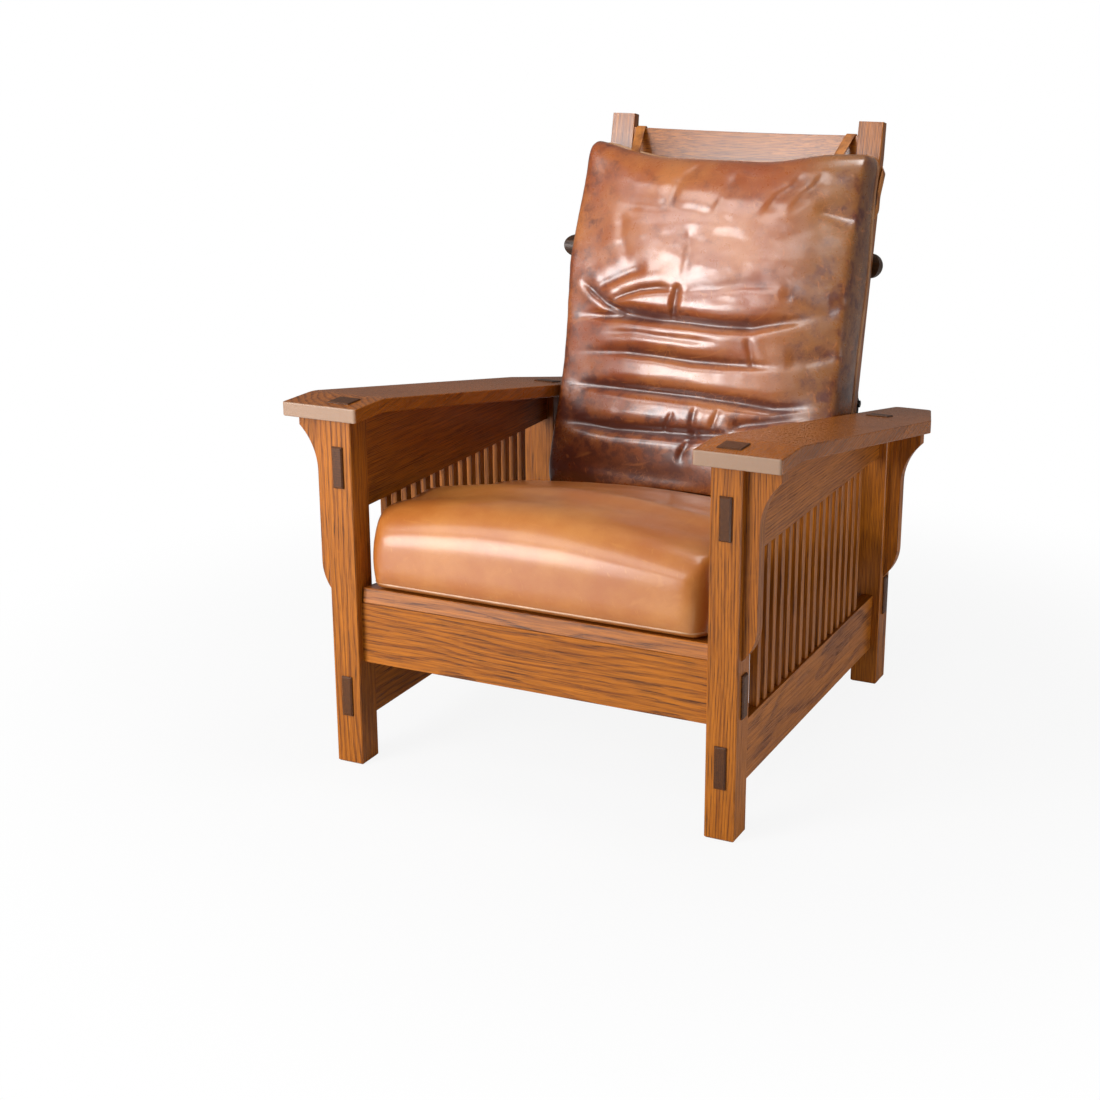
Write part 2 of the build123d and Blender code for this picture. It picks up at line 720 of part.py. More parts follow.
bolt_end = bracket_out + bolt_head_length
bolt = rod(bolt_radius, bracket_in - bolt_head_length, bolt_end)
for x_low in (bracket_in - bolt_head_length, bracket_out):
    nut = Plane.YZ.offset(x_low) * RegularPolygon(bolt_head_radius, 6)
    bolt += extrude(nut, bolt_head_length)

# Screws up through the board into the arms
board_screw_x = (arm_in + board_half_length) / 2
board_screw_length = rear_board_thickness + board_screw_depth_in_arm
board_screws = []
board_holes = []
for side in (-1, 1):
    for y in (-board_half_width / 2, board_half_width / 2):
        spot = Pos(side * board_screw_x, y, board_base) * Rot(180, 0, 0)
        board_sizes = (board_screw_radius, board_screw_head_radius, board_screw_head_depth, board_screw_length)
        board_screws.append(board_place * spot * screw(*board_sizes))
        board_holes.append(board_place * spot * screw_hole(*board_sizes))
rear_arm_rail = board_place * rear_arm_rail - board_holes
rear_arm_rail -= [board_place * hole for hole in foot_holes]
rear_arm_rail -= [mirrored(board_place * hole) for hole in foot_holes]
arm_left = mirrored(arm_right) - board_holes
arm_right -= board_holes

# Seat cushion: sections from front to rear, as shares of its length, half width and height
seat_cushion_shares = [
    (0.000, 0.890, 0.22, 0.50, 0.56),
    (0.014, 0.940, 0.06, 0.62, 0.72),
    (0.045, 0.980, 0.00, 0.73, 0.87),
    (0.110, 0.997, 0.00, 0.79, 0.97),
    (0.210, 1.000, 0.00, 0.80, 1.00),
    (0.350, 1.000, 0.00, 0.76, 0.94),
    (0.550, 1.000, 0.00, 0.69, 0.84),
    (0.780, 0.995, 0.00, 0.58, 0.70),
    (0.930, 0.980, 0.00, 0.49, 0.58),
    (0.985, 0.940, 0.06, 0.42, 0.48),
    (1.000, 0.890, 0.14, 0.35, 0.39),
]


def cushion_outline(half_width, base, seam, crown, draw):
    """A cushion's section: flat base, sides drawn in at the seams, crowned face."""
    seam_x = half_width - draw
    middle = (base + seam) / 2
    floor = Line((-seam_x, base), (seam_x, base))
    right = ThreePointArc((seam_x, base), (half_width, middle), (seam_x, seam))
    face = ThreePointArc((seam_x, seam), (0, crown), (-seam_x, seam))
    left = ThreePointArc((-seam_x, seam), (-half_width, middle), (-seam_x, base))
    return make_face(Curve() + [floor, right, face, left])


seat_cushion_half = leg_in - seat_cushion_side_gap
seat_cushion_start = -seat_cushion_overhang
seat_cushion_length = seat_length - seat_cushion_rear_clearance - seat_cushion_start
seat_sections = []
for along, width, base, seam, crown in seat_cushion_shares:
    outline = cushion_outline(
        width * seat_cushion_half,
        seat_board_thickness + base * seat_cushion_height,
        seat_board_thickness + seam * seat_cushion_height,
        seat_board_thickness + crown * seat_cushion_height,
        seat_cushion_draw,
    )
    seat_sections.append(Plane.XZ.offset(-(seat_cushion_start + along * seat_cushion_length)) * outline)
below_x = seat_cushion_half + overrun
below_cushion = block(-below_x, below_x, -overrun, seat_length + overrun, -overrun, seat_board_thickness)
seat_cushion = seat_place * (loft(seat_sections) - below_cushion)

# Back cushion: sections from bottom to top, as shares of its height, half width and depth
back_cushion_shares = [
    (0.000, 0.930, 0.34, 0.70, 0.76),
    (0.018, 0.980, 0.20, 0.83, 0.89),
    (0.060, 1.005, 0.08, 0.90, 1.00),
    (0.180, 1.010, 0.00, 0.86, 1.04),
    (0.500, 1.005, 0.00, 0.80, 1.02),
    (0.800, 1.000, 0.00, 0.72, 0.95),
    (0.940, 0.990, 0.00, 0.62, 0.80),
    (0.985, 0.970, 0.03, 0.54, 0.64),
    (1.000, 0.940, 0.12, 0.44, 0.50),
]
back_cushion_half = stile_out + back_cushion_over_stile
back_cushion_rear = stile_front - soft_gap
back_cushion_base = back_cushion_seat_share * seat_cushion_height - back_cushion_settle
back_cushion_height = stile_length - back_cushion_below_top - back_cushion_base
back_sections = []
for up, width, base, seam, crown in back_cushion_shares:
    outline = cushion_outline(
        width * back_cushion_half,
        base * back_cushion_depth,
        seam * back_cushion_depth,
        crown * back_cushion_depth,
        back_cushion_draw,
    )
    height = back_cushion_base + up * back_cushion_height
    level = Plane(origin=(0, back_cushion_rear, height), x_dir=(-1, 0, 0), z_dir=(0, 0, 1))
    back_sections.append(level * outline)
behind_cushion = block(-arm_in, arm_in, back_cushion_rear, back_cushion_rear + overrun, 0, stile_length)
back_cushion = back_place * (loft(back_sections) - behind_cushion)


# Straps that tie the back cushion to the back frame
def band(width, depth):
    """The outline of a strap round something: a ring with rounded corners."""
    outer = RectangleRounded(width + 2 * strap_thickness, depth + 2 * strap_thickness, strap_fold)
    return outer - RectangleRounded(width, depth, strap_fold - strap_thickness)


def slat_bow_at(x):
    """How far a slat has bowed to the rear at a distance from the middle."""
    radius = (stile_in ** 2 + back_slat_bow ** 2) / (2 * back_slat_bow)
    return back_slat_bow - radius + (radius ** 2 - x ** 2) ** 0.5


top_strap_x = stile_in - top_strap_from_stile
strap_near = slat_bow_at(top_strap_x + strap_width / 2)
strap_far = slat_bow_at(top_strap_x - strap_width / 2)
slat_depth = back_slat_thickness + strap_far - strap_near + 2 * soft_gap
slat_front = stile_front + back_slat_setback + strap_near - soft_gap
loop_ring = Plane.YZ.offset(top_strap_x - strap_width / 2) * band(slat_depth, back_slat_height + 2 * soft_gap)
loop = extrude(loop_ring, strap_width)
loop = Pos(0, slat_front + slat_depth / 2, top_slat_top - back_slat_height / 2) * loop
top_strap_right = back_place * loop

side_ring = band(stile_width + 2 * soft_gap, stile_thickness + 2 * soft_gap)
side_loop = extrude(side_ring, strap_width)
side_strap_base = top_slat_top - (back_slat_pitch + back_slat_height + strap_width) / 2
side_loop = Pos(stile_in + stile_width / 2, (stile_front + stile_rear) / 2, side_strap_base) * side_loop
side_strap_right = back_place * side_loop
back_cushion -= [side_strap_right, mirrored(side_strap_right)]

pieces = {
    "front_rail": front_rail,
    "rear_rail": rear_rail,
    "seat_frame_front": seat_frame_front,
    "seat_frame_rear": seat_frame_rear,
    "seat_frame_right": seat_frame_right,
    "seat_frame_left": seat_frame_left,
    "seat_slats": seat_slats,
    "seat_cleat_front": seat_cleat_front,
    "seat_cleat_rear": seat_cleat_rear,
    "seat_cushion": seat_cushion,
    "arm_right": arm_right,
    "arm_left": arm_left,
    "rear_arm_rail": rear_arm_rail,
    "arm_rail_screws": board_screws,
    "spindles_right": spindles,
    "spindles_left": [mirrored(stick) for stick in spindles],
    "hinge_rail_leaves": hinge_rail_leaves,
    "hinge_back_leaves": hinge_back_leaves,
    "hinge_rail_screws": hinge_rail_screws,
    "hinge_back_screws": hinge_back_screws,
    "hinge_pins": hinge_pins,
    "back_bottom_rail": back_bottom_rail,
    "back_cushion": back_cushion,
    "adjusting_bar": adjusting_bar,
}
for row, slat in enumerate(back_slats):
    pieces[f"back_slat_{row + 1}"] = slat
one_side = {
    "front_leg": front_leg,
    "rear_leg": rear_leg,
    "lower_side_rail": lower_side_rail,
    "upper_side_rail": upper_side_rail,
    "front_corbel": front_corbel,
    "rear_corbel": rear_corbel,
    "back_stile": back_stile_right,
    "back_rack": back_rack_right,
    "prop_arm": prop_arm_right,
    "top_strap": top_strap_right,
    "side_strap": side_strap_right,
}
for name, shape in one_side.items():
    pieces[f"{name}_right"] = shape
    pieces[f"{name}_left"] = mirrored(shape)
one_side_sets = {
    "bar_keepers": [keeper_right],
    "prop_brackets": [board_place * bracket],
    "prop_pivot_bolts": [board_place * bolt],
    "bracket_screws": [board_place * shape for shape in foot_screws],
}
for name, shapes in one_side_sets.items():
    pieces[name] = shapes + [mirrored(shape) for shape in shapes]

os.makedirs("parts", exist_ok=True)
for name, shape in pieces.items():
    solid = Compound(children=shape) if isinstance(shape, list) else shape
    export_step(solid, f"parts/{name}.step")

bar_room = bar_half - rack_x - rack_width - bar_rack_margin
print("prop turn for each degree of recline", round(prop_ratio, 4))
print("hinge axis", round(hinge_y, 3), round(hinge_z, 3), "prop pivot", round(pivot_y, 3), round(pivot_z, 3))
print("bar slide range", round(-bar_room - bar_shift, 2), round(bar_room - bar_shift, 2))
print("scallop heights", [round(height, 2) for height in scallop_heights])
for angle in step_angles:
    drift = bar_on_back(angle, prop_ratio * angle)[0] - bar_offset
    print("recline", round(angle, 2), "bar moves off the racks by", round(drift, 3))
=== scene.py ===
"""Reclining armchair with bent oak arms: finishes, cushions, straps, studio and camera.

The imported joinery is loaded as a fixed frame. The classes below dress its oak and steel,
sew the two leather cushions over it, buckle the straps and light the whole.
"""

import json
import logging
import math
from collections.abc import Callable, Sequence
from dataclasses import dataclass, field
from enum import Enum
from typing import Any

import bmesh
import bpy
from bpy.types import Material, Mesh, Node, NodeSocket, Object
from mathutils import Euler, Matrix, Vector, noise
from mathutils.bvhtree import BVHTree

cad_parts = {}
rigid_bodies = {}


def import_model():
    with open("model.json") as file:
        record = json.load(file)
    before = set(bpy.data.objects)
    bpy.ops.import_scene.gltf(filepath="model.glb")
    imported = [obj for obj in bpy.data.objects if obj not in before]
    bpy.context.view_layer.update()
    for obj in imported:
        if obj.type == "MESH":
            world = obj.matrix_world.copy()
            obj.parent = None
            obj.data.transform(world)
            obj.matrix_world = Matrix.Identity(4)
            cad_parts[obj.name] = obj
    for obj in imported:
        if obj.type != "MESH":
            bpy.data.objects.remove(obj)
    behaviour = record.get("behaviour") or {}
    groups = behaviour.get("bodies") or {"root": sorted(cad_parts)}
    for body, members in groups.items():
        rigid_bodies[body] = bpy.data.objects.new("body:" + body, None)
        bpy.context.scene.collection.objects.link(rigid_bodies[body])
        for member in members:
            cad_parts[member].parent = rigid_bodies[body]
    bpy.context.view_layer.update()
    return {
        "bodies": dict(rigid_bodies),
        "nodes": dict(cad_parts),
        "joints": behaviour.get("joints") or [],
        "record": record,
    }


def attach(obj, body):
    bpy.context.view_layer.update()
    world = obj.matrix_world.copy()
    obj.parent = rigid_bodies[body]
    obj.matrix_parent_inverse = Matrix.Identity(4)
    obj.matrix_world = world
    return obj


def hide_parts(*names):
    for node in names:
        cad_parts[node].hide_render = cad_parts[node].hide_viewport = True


log = logging.getLogger("armchair")

ARM_SLOPE = math.radians(9.7)
BACK_LEAN = math.radians(12.5)
SEAT_SLOPE = math.radians(6.3)
PROP_LEAN = math.radians(12.3)
# The middle of the hinges' line, and the lower front edge of the seat frame.
HINGE = Vector((0.0, 0.26295, 0.2195))
SEAT_ORIGIN = Vector((0.0, -0.4795, 0.283))
# The stiles' front faces behind the hinges' line, and the seat boards' tops over the seat's origin.
STILE_FRONT = -0.0299
SEAT_BOARD = 0.026
# The arms slope down from this far in front of the middle.
ARM_BEND = 0.4235
# Where the masks begin and are full, across, in depth or in height: the end grain of the tenons and
# leg tops, and the arms' front ends, which get a painted pale reflection.
CROSS_TENON_END = (0.3538, 0.3546)
SIDE_TENON_END = (-0.4932, -0.4940)
LEG_TENON_TOP = (0.6125, 0.6133)
ARM_FRONT_REFLECTION = (-0.5085, -0.5112)
DOWN = Vector((0.0, 0.0, -1.0))
CORD_SIDES = 8
CURVE_STEPS = 6
SEAM_STEPS = 260
WHITE = (1.0, 1.0, 1.0, 1.0)

Triple = tuple[float, float, float]
Pair = tuple[float, float]


def srgb(code: str) -> Triple:
    """Turns a screen colour such as "#8a5a3a" into scene-linear red, green and blue."""
    parts = [int(code[i : i + 2], 16) / 255 for i in (1, 3, 5)]
    return tuple(c / 12.92 if c <= 0.04045 else ((c + 0.055) / 1.055) ** 2.4 for c in parts)


class Signal:
    """A shader socket whose arithmetic adds Math nodes to its graph."""

    def __init__(self, graph: "Graph", socket: NodeSocket) -> None:
        """Wraps one output socket of a graph."""
        self.graph = graph
        self.socket = socket

    def __add__(self, other: "Signal | float") -> "Signal":
        """Adds."""
        return self.graph.maths("ADD", self, other)

    __radd__ = __add__

    def __mul__(self, other: "Signal | float") -> "Signal":
        """Multiplies."""
        return self.graph.maths("MULTIPLY", self, other)

    __rmul__ = __mul__

    def __sub__(self, other: "Signal | float") -> "Signal":
        """Subtracts from this value."""
        return self.graph.maths("SUBTRACT", self, other)

    def __rsub__(self, other: "Signal | float") -> "Signal":
        """Subtracts this value."""
        return self.graph.maths("SUBTRACT", other, self)

    def __truediv__(self, other: "Signal | float") -> "Signal":
        """Divides."""
        return self.graph.maths("DIVIDE", self, other)

    def __pow__(self, other: "Signal | float") -> "Signal":
        """Raises to a power."""
        return self.graph.maths("POWER", self, other)

    def fraction(self) -> "Signal":
        """The part after the point, which repeats a pattern."""
        return self.graph.maths("FRACT", self)

    def step(self, low: float, high: float) -> "Signal":
        """A smooth step from 0 at low to 1 at high, or down where low is the larger.

        Args:
            low: Value at which the result is 0.
            high: Value at which the result is 1.

        Returns:
            The stepped value.
        """
        if low > high:
            return 1.0 - self.step(high, low)
        feeds = {"Value": self, "From Min": low, "From Max": high}
        node = self.graph.lay("ShaderNodeMapRange", {"interpolation_type": "SMOOTHSTEP"}, feeds)
        return Signal(self.graph, node.outputs["Result"])


class Graph:
    """The node tree of one material or world, written as expressions."""

    def __init__(
        self, owner: Material | bpy.types.World, out: str = "ShaderNodeOutputMaterial"
    ) -> None:
        """Empties the owner's tree and gives it an output.

        Args:
            owner: The material or world.
            out: Blender's name of the output's node type.
        """
        owner.use_nodes = True
        self.owner = owner
        self.tree = owner.node_tree
        self.tree.nodes.clear()
        self.out = self.lay(out)
        self.place = self.lay("ShaderNodeTexCoord").outputs["Object"]

    @classmethod
    def named(cls, name: str) -> "Graph":
        """A graph for a new material of the name."""
        return cls(bpy.data.materials.new(name))

    def lay(
        self, kind: str, settings: dict[str, Any] | None = None, sockets: dict | None = None
    ) -> Node:
        """Adds a node, sets it up and feeds its sockets.

        Args:
            kind: Blender's name of the node type.
            settings: Properties of the node, set before its sockets are looked up.
            sockets: Values, sockets or signals by the input's name or number.

        Returns:
            The node.
        """
        node = self.tree.nodes.new(kind)
        for key, value in (settings or {}).items():
            setattr(node, key, value)
        for key, value in (sockets or {}).items():
            value = value.socket if isinstance(value, Signal) else value
            if isinstance(value, NodeSocket):
                self.tree.links.new(value, node.inputs[key])
            else:
                node.inputs[key].default_value = value
        return node

    def blend_shaders(self, share: Signal, low: Node, high: Node) -> NodeSocket:
        """Blends two shaders, where a share of 1 gives the second."""
        feeds = {0: share, 1: low.outputs[0], 2: high.outputs[0]}
        return self.lay("ShaderNodeMixShader", None, feeds).outputs[0]

    def maths(self, operation: str, *values: "Signal | float") -> Signal:
        """Adds a Math node for the operation on the values."""
        node = self.lay("ShaderNodeMath", {"operation": operation}, dict(enumerate(values)))
        return Signal(self, node.outputs[0])

    def mix(self, share: "Signal | float", low: Any, high: Any) -> NodeSocket:
        """Blends two colours.

        Args:
            share: 0 for the first colour, 1 for the second.
            low: First colour's code or socket.
            high: Second colour's code or socket.

        Returns:
            The blended colour's socket.
        """
        colours = [(*srgb(c), 1.0) if isinstance(c, str) else c for c in (low, high)]
        settings = {"data_type": "RGBA", "blend_type": "MIX", "clamp_factor": True}
        node = self.lay("ShaderNodeMix", settings, {0: share, 6: colours[0], 7: colours[1]})
        return node.outputs[2]

    def scaled(self, place: NodeSocket, scale: Triple) -> NodeSocket:
        """Coordinates multiplied by a factor along each axis."""
        feeds = {0: place, 1: scale}
        return self.lay("ShaderNodeVectorMath", {"operation": "MULTIPLY"}, feeds).outputs[0]

    def grain_space(self, turn: Euler, shift: Triple) -> NodeSocket:
        """Coordinates turned and shifted so that the first one runs along the grain."""
        feeds = {"Vector": self.place, "Rotation": tuple(turn), "Location": shift}
        return self.lay("ShaderNodeMapping", {"vector_type": "POINT"}, feeds).outputs["Vector"]

    def noise(
        self, place: NodeSocket, scale: float | Triple, detail: float, rough: float = 0.5
    ) -> Signal:
        """A noise value from 0 to 1.

        Args:
            place: Coordinates.
            scale: Waves per metre, or those along each axis.
            detail: Octaves.
            rough: Strength of each further octave.

        Returns:
            The noise.
        """
        if isinstance(scale, tuple):
            place, scale = self.scaled(place, scale), 1.0
        feeds = {"Vector": place, "Scale": scale, "Detail": detail, "Roughness": rough}
        node = self.lay("ShaderNodeTexNoise", {"noise_dimensions": "3D"}, feeds)
        return Signal(self, node.outputs["Fac"])

    def cells(self, place: NodeSocket, stretch: Triple, scale: float) -> Signal:
        """Distance from the edges of a pattern of stretched cells, in cells.

        Args:
            place: Coordinates.
            stretch: Their factor along each axis.
            scale: Cells per metre.

        Returns:
            The distance.
        """
        feeds = {"Vector": self.scaled(place, stretch), "Scale": scale}
        node = self.lay("ShaderNodeTexVoronoi", {"feature": "DISTANCE_TO_EDGE"}, feeds)
        return Signal(self, node.outputs["Distance"])

    def axes(self, place: NodeSocket | None = None) -> tuple[Signal, Signal, Signal]:
        """Splits coordinates, or else the object's own, into their three numbers."""
        node = self.lay("ShaderNodeSeparateXYZ", None, {0: place or self.place})
        return tuple(Signal(self, s) for s in node.outputs)

    def bump(self, height: Signal, strength: float, depth: float) -> NodeSocket:
        """The normal bent by a height from 0 to 1, where 1 stands for a depth in metres."""
        feeds = {"Height": height, "Strength": strength, "Distance": depth}
        return self.lay("ShaderNodeBump", None, feeds).outputs["Normal"]

    def end(self, shader: NodeSocket) -> Material | bpy.types.World:
        """Ends the graph in a shader and gives back the owner."""
        self.tree.links.new(shader, self.out.inputs["Surface"])
        return self.owner

    def surface(self, sockets: dict[str, Any]) -> Material:
        """Ends the graph in one Principled shader with these values or links."""
        return self.end(self.lay("ShaderNodeBsdfPrincipled", None, sockets).outputs[0])


Mask = Callable[[Graph], Signal]


class Grain(Enum):
    """Which way the grain of a board runs."""

    ACROSS = (0.0, 0.0, 0.0)
    DEPTH = (0.0, 0.0, -math.pi / 2)
    UPRIGHT = (0.0, math.pi / 2, 0.0)


@dataclass(frozen=True)
class OakFinish:
    """Fumed quartersawn oak under lacquer: growth lines, pores, ray fleck and worn gloss."""

    name: str
    light: str = "#ba6c18"
    dark: str = "#743a0c"
    pore: str = "#2a1105"
    gloss: float = 0.38
    coat: float = 0.12
    fleck: float = 0.5
    ends: str = "#2c1a12"
    sheen: float = 0.27
    pith: Pair = (0.23, 0.11)
    ring_width: float = 0.0027

    def material(
        self, seed: int, grain: Grain, tilt: float = 0.0, ends: Mask | None = None
    ) -> Material:
        """Makes the finish for one board.

        Args:
            seed: Number that moves the figure, so that no two boards match.
            grain: Direction of the grain before any tilt.
            tilt: Turn about X, in radians, that undoes the board's lean.
            ends: Mask of the end grain that shows, from the graph; on the arms it marks their front
                ends for a painted pale reflection.

        Returns:
            The material.
        """
        graph = Graph.named(f"{self.name}_{grain.name.lower()}_{seed}")
        turn = (Euler(grain.value).to_matrix() @ Euler((tilt, 0, 0)).to_matrix()).to_euler()
        shift = (seed * 0.37, seed * 0.053, seed * 0.071)
        board = graph.grain_space(turn, shift)
        sway = graph.noise(board, (1.3, 5.0, 5.0), 3.0)
        _, wide, deep = graph.axes(board)
        off_y = wide - (shift[1] + self.pith[0])
        off_z = deep - (shift[2] + self.pith[1])
        radius = (off_y * off_y + off_z * off_z) ** 0.5 + sway * 0.035
        ring = (radius / self.ring_width).fraction()
        early = ring.step(0.4, 0.85) * ring.step(1.0, 0.9)
        streak = graph.noise(board, (7.0, 300.0, 300.0), 4.0, 0.65)
        fibre = graph.noise(board, (20.0, 640.0, 640.0), 3.0, 0.6)
        cloud = graph.noise(board, (3.0, 9.0, 9.0), 3.0, 0.55)
        pores = fibre.step(0.49, 0.62) * (early * 0.55 + 0.45)
        ray = graph.noise(board, (60.0, 160.0, 25.0), 1.0).step(0.66, 0.74)
        tone = (early * 0.25 + (streak - 0.5) * 1.4 + 0.36 + (cloud - 0.5) * 0.45).step(0.05, 0.95)
        wood = graph.mix(tone, self.light, self.dark)
        wood = graph.mix(ray * self.fleck * 0.35, wood, self.light)
        wood = graph.mix(pores * 0.72, wood, self.pore)
        # End grain colour; on the arms' front ends this is a painted pale reflection.
        if ends is not None:
            wood = graph.mix(ends(graph) * 0.8, wood, self.ends)
        rough = self.gloss + streak * 0.12 - 0.06 + pores * 0.14 - ray * self.fleck * 0.06
        height = 1.0 - pores * 0.9 - early * 0.15 + streak * 0.1
        normal = graph.bump(height, 0.55, 0.00025)
        feeds = {"Base Color": wood, "Roughness": rough, "Normal": normal}
        feeds |= {"Coat Weight": self.coat, "Coat Roughness": 0.2, "Specular IOR Level": self.sheen}
        return graph.surface(feeds)


@dataclass(frozen=True)
class LeatherFinish:
    """Waxed pull-up leather: cloudy burnish, fine crackle, scratches and a worn shine."""

    name: str
    base: str
    burnish: str
    deep: str
    faded: str = "#8a5a28"
    gloss: float = 0.34
    coat: float = 0.5
    wear: float = 0.4
    crackle: float = 0.0
    sheen: float = 0.5
    grain_scale: float = 520.0

    def material(
        self, seed: float, tone: Mask | None = None, fade: Mask | None = None
    ) -> Material:
        """Makes the leather for one piece.

        Args:
            seed: Moves the clouds and the scratches.
            tone: Mask of the places painted darker, from the graph, such as painted shade on the
                seat's boxed sides.
            fade: Mask of the places that light has turned olive, from the graph.

        Returns:
            The material.
        """
        graph = Graph.named(self.name)
        place = graph.grain_space(Euler((0.2, 0.4, 0.1)), (seed, seed * 0.7, seed * 0.3))
        cloud = graph.noise(place, 6.0, 5.0, 0.6)
        patch = graph.noise(place, 34.0, 6.0, 0.68)
        fine = graph.noise(place, 120.0, 4.0, 0.65)
        pebble = graph.cells(place, (1.0, 1.25, 0.9), self.grain_scale)
        creases = graph.cells(place, (0.8, 1.1, 1.6), 95.0)
        scratch_a = graph.noise(place, (9.0, 260.0, 40.0), 2.0).step(0.63, 0.72)
        scratch_b = graph.noise(place, (200.0, 14.0, 60.0), 2.0).step(0.65, 0.74)
        lines = creases.step(0.05, 0.0) * patch.step(0.42, 0.6) * self.crackle
        tint = graph.mix(cloud.step(0.34, 0.7), self.base, self.burnish)
        if fade is not None:
            tint = graph.mix(fade(graph) * (fine * 0.4 + 0.6), tint, self.faded)
        dark = (patch - cloud * 0.35).step(0.24, 0.56) * self.wear
        # Darker where the tone mask says; on the seat's boxed sides this is painted shade.
        if tone is not None:
            dark = (dark + tone(graph) * (patch + 0.35)).step(0.0, 1.0)
        # Painted shade in the back cushion's creases, read from its fold attribute.
        folds = graph.lay("ShaderNodeAttribute", {"attribute_name": "fold"})
        shade = Signal(graph, folds.outputs["Fac"])
        dark = (dark + shade * 0.85).step(0.0, 1.0)
        tint = graph.mix(dark, tint, self.deep)
        veins = graph.cells(place, (1.0, 1.5, 2.1), 60.0)
        veins = (veins + (fine - 0.5) * 0.3).step(0.06, 0.0) * cloud.step(0.5, 0.62)
        tint = graph.mix(veins * 0.5, tint, self.burnish)
        tint = graph.mix((scratch_a + scratch_b) * 0.5, tint, self.burnish)
        tint = graph.mix(lines * 0.45, tint, self.deep)
        rough = self.gloss + (patch - 0.5) * 0.18 + fine * 0.08 + lines * 0.12 + shade * 0.25
        height = pebble.step(0.0, 0.22) * 0.5 + fine * 0.35 - lines * 0.8
        normal = graph.bump(height, 0.5, 0.00022)
        feeds = {"Base Color": tint, "Roughness": rough, "Normal": normal}
        feeds |= {"Coat Weight": self.coat, "Coat Roughness": 0.2, "Specular IOR Level": self.sheen}
        return graph.surface(feeds)


@dataclass(frozen=True)
class StrapFinish:
    """Plain vegetable-tanned strap leather, clouded with a darker, rubbed colour."""

    name: str = "strap_leather"
    flesh: str = "#bd7634"
    rubbed: str = "#7a4218"

    def material(self) -> Material:
        """Makes the strap leather.

        Returns:
            The material.
        """
        graph = Graph.named(self.name)
        cloud = graph.noise(graph.place, 40.0, 3.0, 0.6)
        fine = graph.noise(graph.place, 900.0, 3.0, 0.6)
        tint = graph.mix(cloud.step(0.35, 0.7), self.flesh, self.rubbed)
        rough, normal = 0.5 + cloud * 0.12, graph.bump(fine, 0.4, 0.0002)
        return graph.surface({"Base Color": tint, "Roughness": rough, "Normal": normal})


@dataclass(frozen=True)
class SteelFinish:
    """Blackened steel, rubbed bright in patches."""

    name: str = "blackened_steel"
    black: str = "#2b2825"
    bright: str = "#6f6962"

    def material(self) -> Material:
        """Makes the steel.

        Returns:
            The material.
        """
        graph = Graph.named(self.name)
        wear = graph.noise(graph.place, 130.0, 4.0, 0.6)
        tint = graph.mix(wear.step(0.55, 0.75) * 0.6, self.black, self.bright)
        rough = 0.42 + wear * 0.16
        return graph.surface({"Base Color": tint, "Roughness": rough, "Metallic": 0.85})


def front_tenon_ends(graph: Graph) -> Signal:
    """Marks the ends of cross rails that stand out of the legs."""
    across, _, _ = graph.axes()
    return graph.maths("ABSOLUTE", across).step(*CROSS_TENON_END)


def side_tenon_ends(graph: Graph) -> Signal:
    """Marks the ends of side rails that stand out of the front legs."""
    _, depth, _ = graph.axes()
    return depth.step(*SIDE_TENON_END)


def leg_tops(graph: Graph) -> Signal:
    """Marks the leg tenons that show in the arms' tops.

    Args:
        graph: The material's graph.

    Returns:
        1 on the tenon's end, 0 elsewhere.
    """
    _, depth, up = graph.axes()
    slope = graph.maths("MAXIMUM", (depth + ARM_BEND) * math.tan(ARM_SLOPE), 0.0)
    return (up + slope).step(*LEG_TENON_TOP)


def arm_front_reflection(graph: Graph) -> Signal:
    """Marks the arms' front ends, which get a painted pale reflection."""
    _, depth, _ = graph.axes()
    return depth.step(*ARM_FRONT_REFLECTION)


def clothe(piece: Object, material: Material) -> None:
    """Puts one material on one piece.

    Args:
        piece: The piece.
        material: Its material.
    """
    piece.data.materials.clear()
    piece.data.materials.append(material)
    log.info("dressed %s in %s", piece.name, material.name)


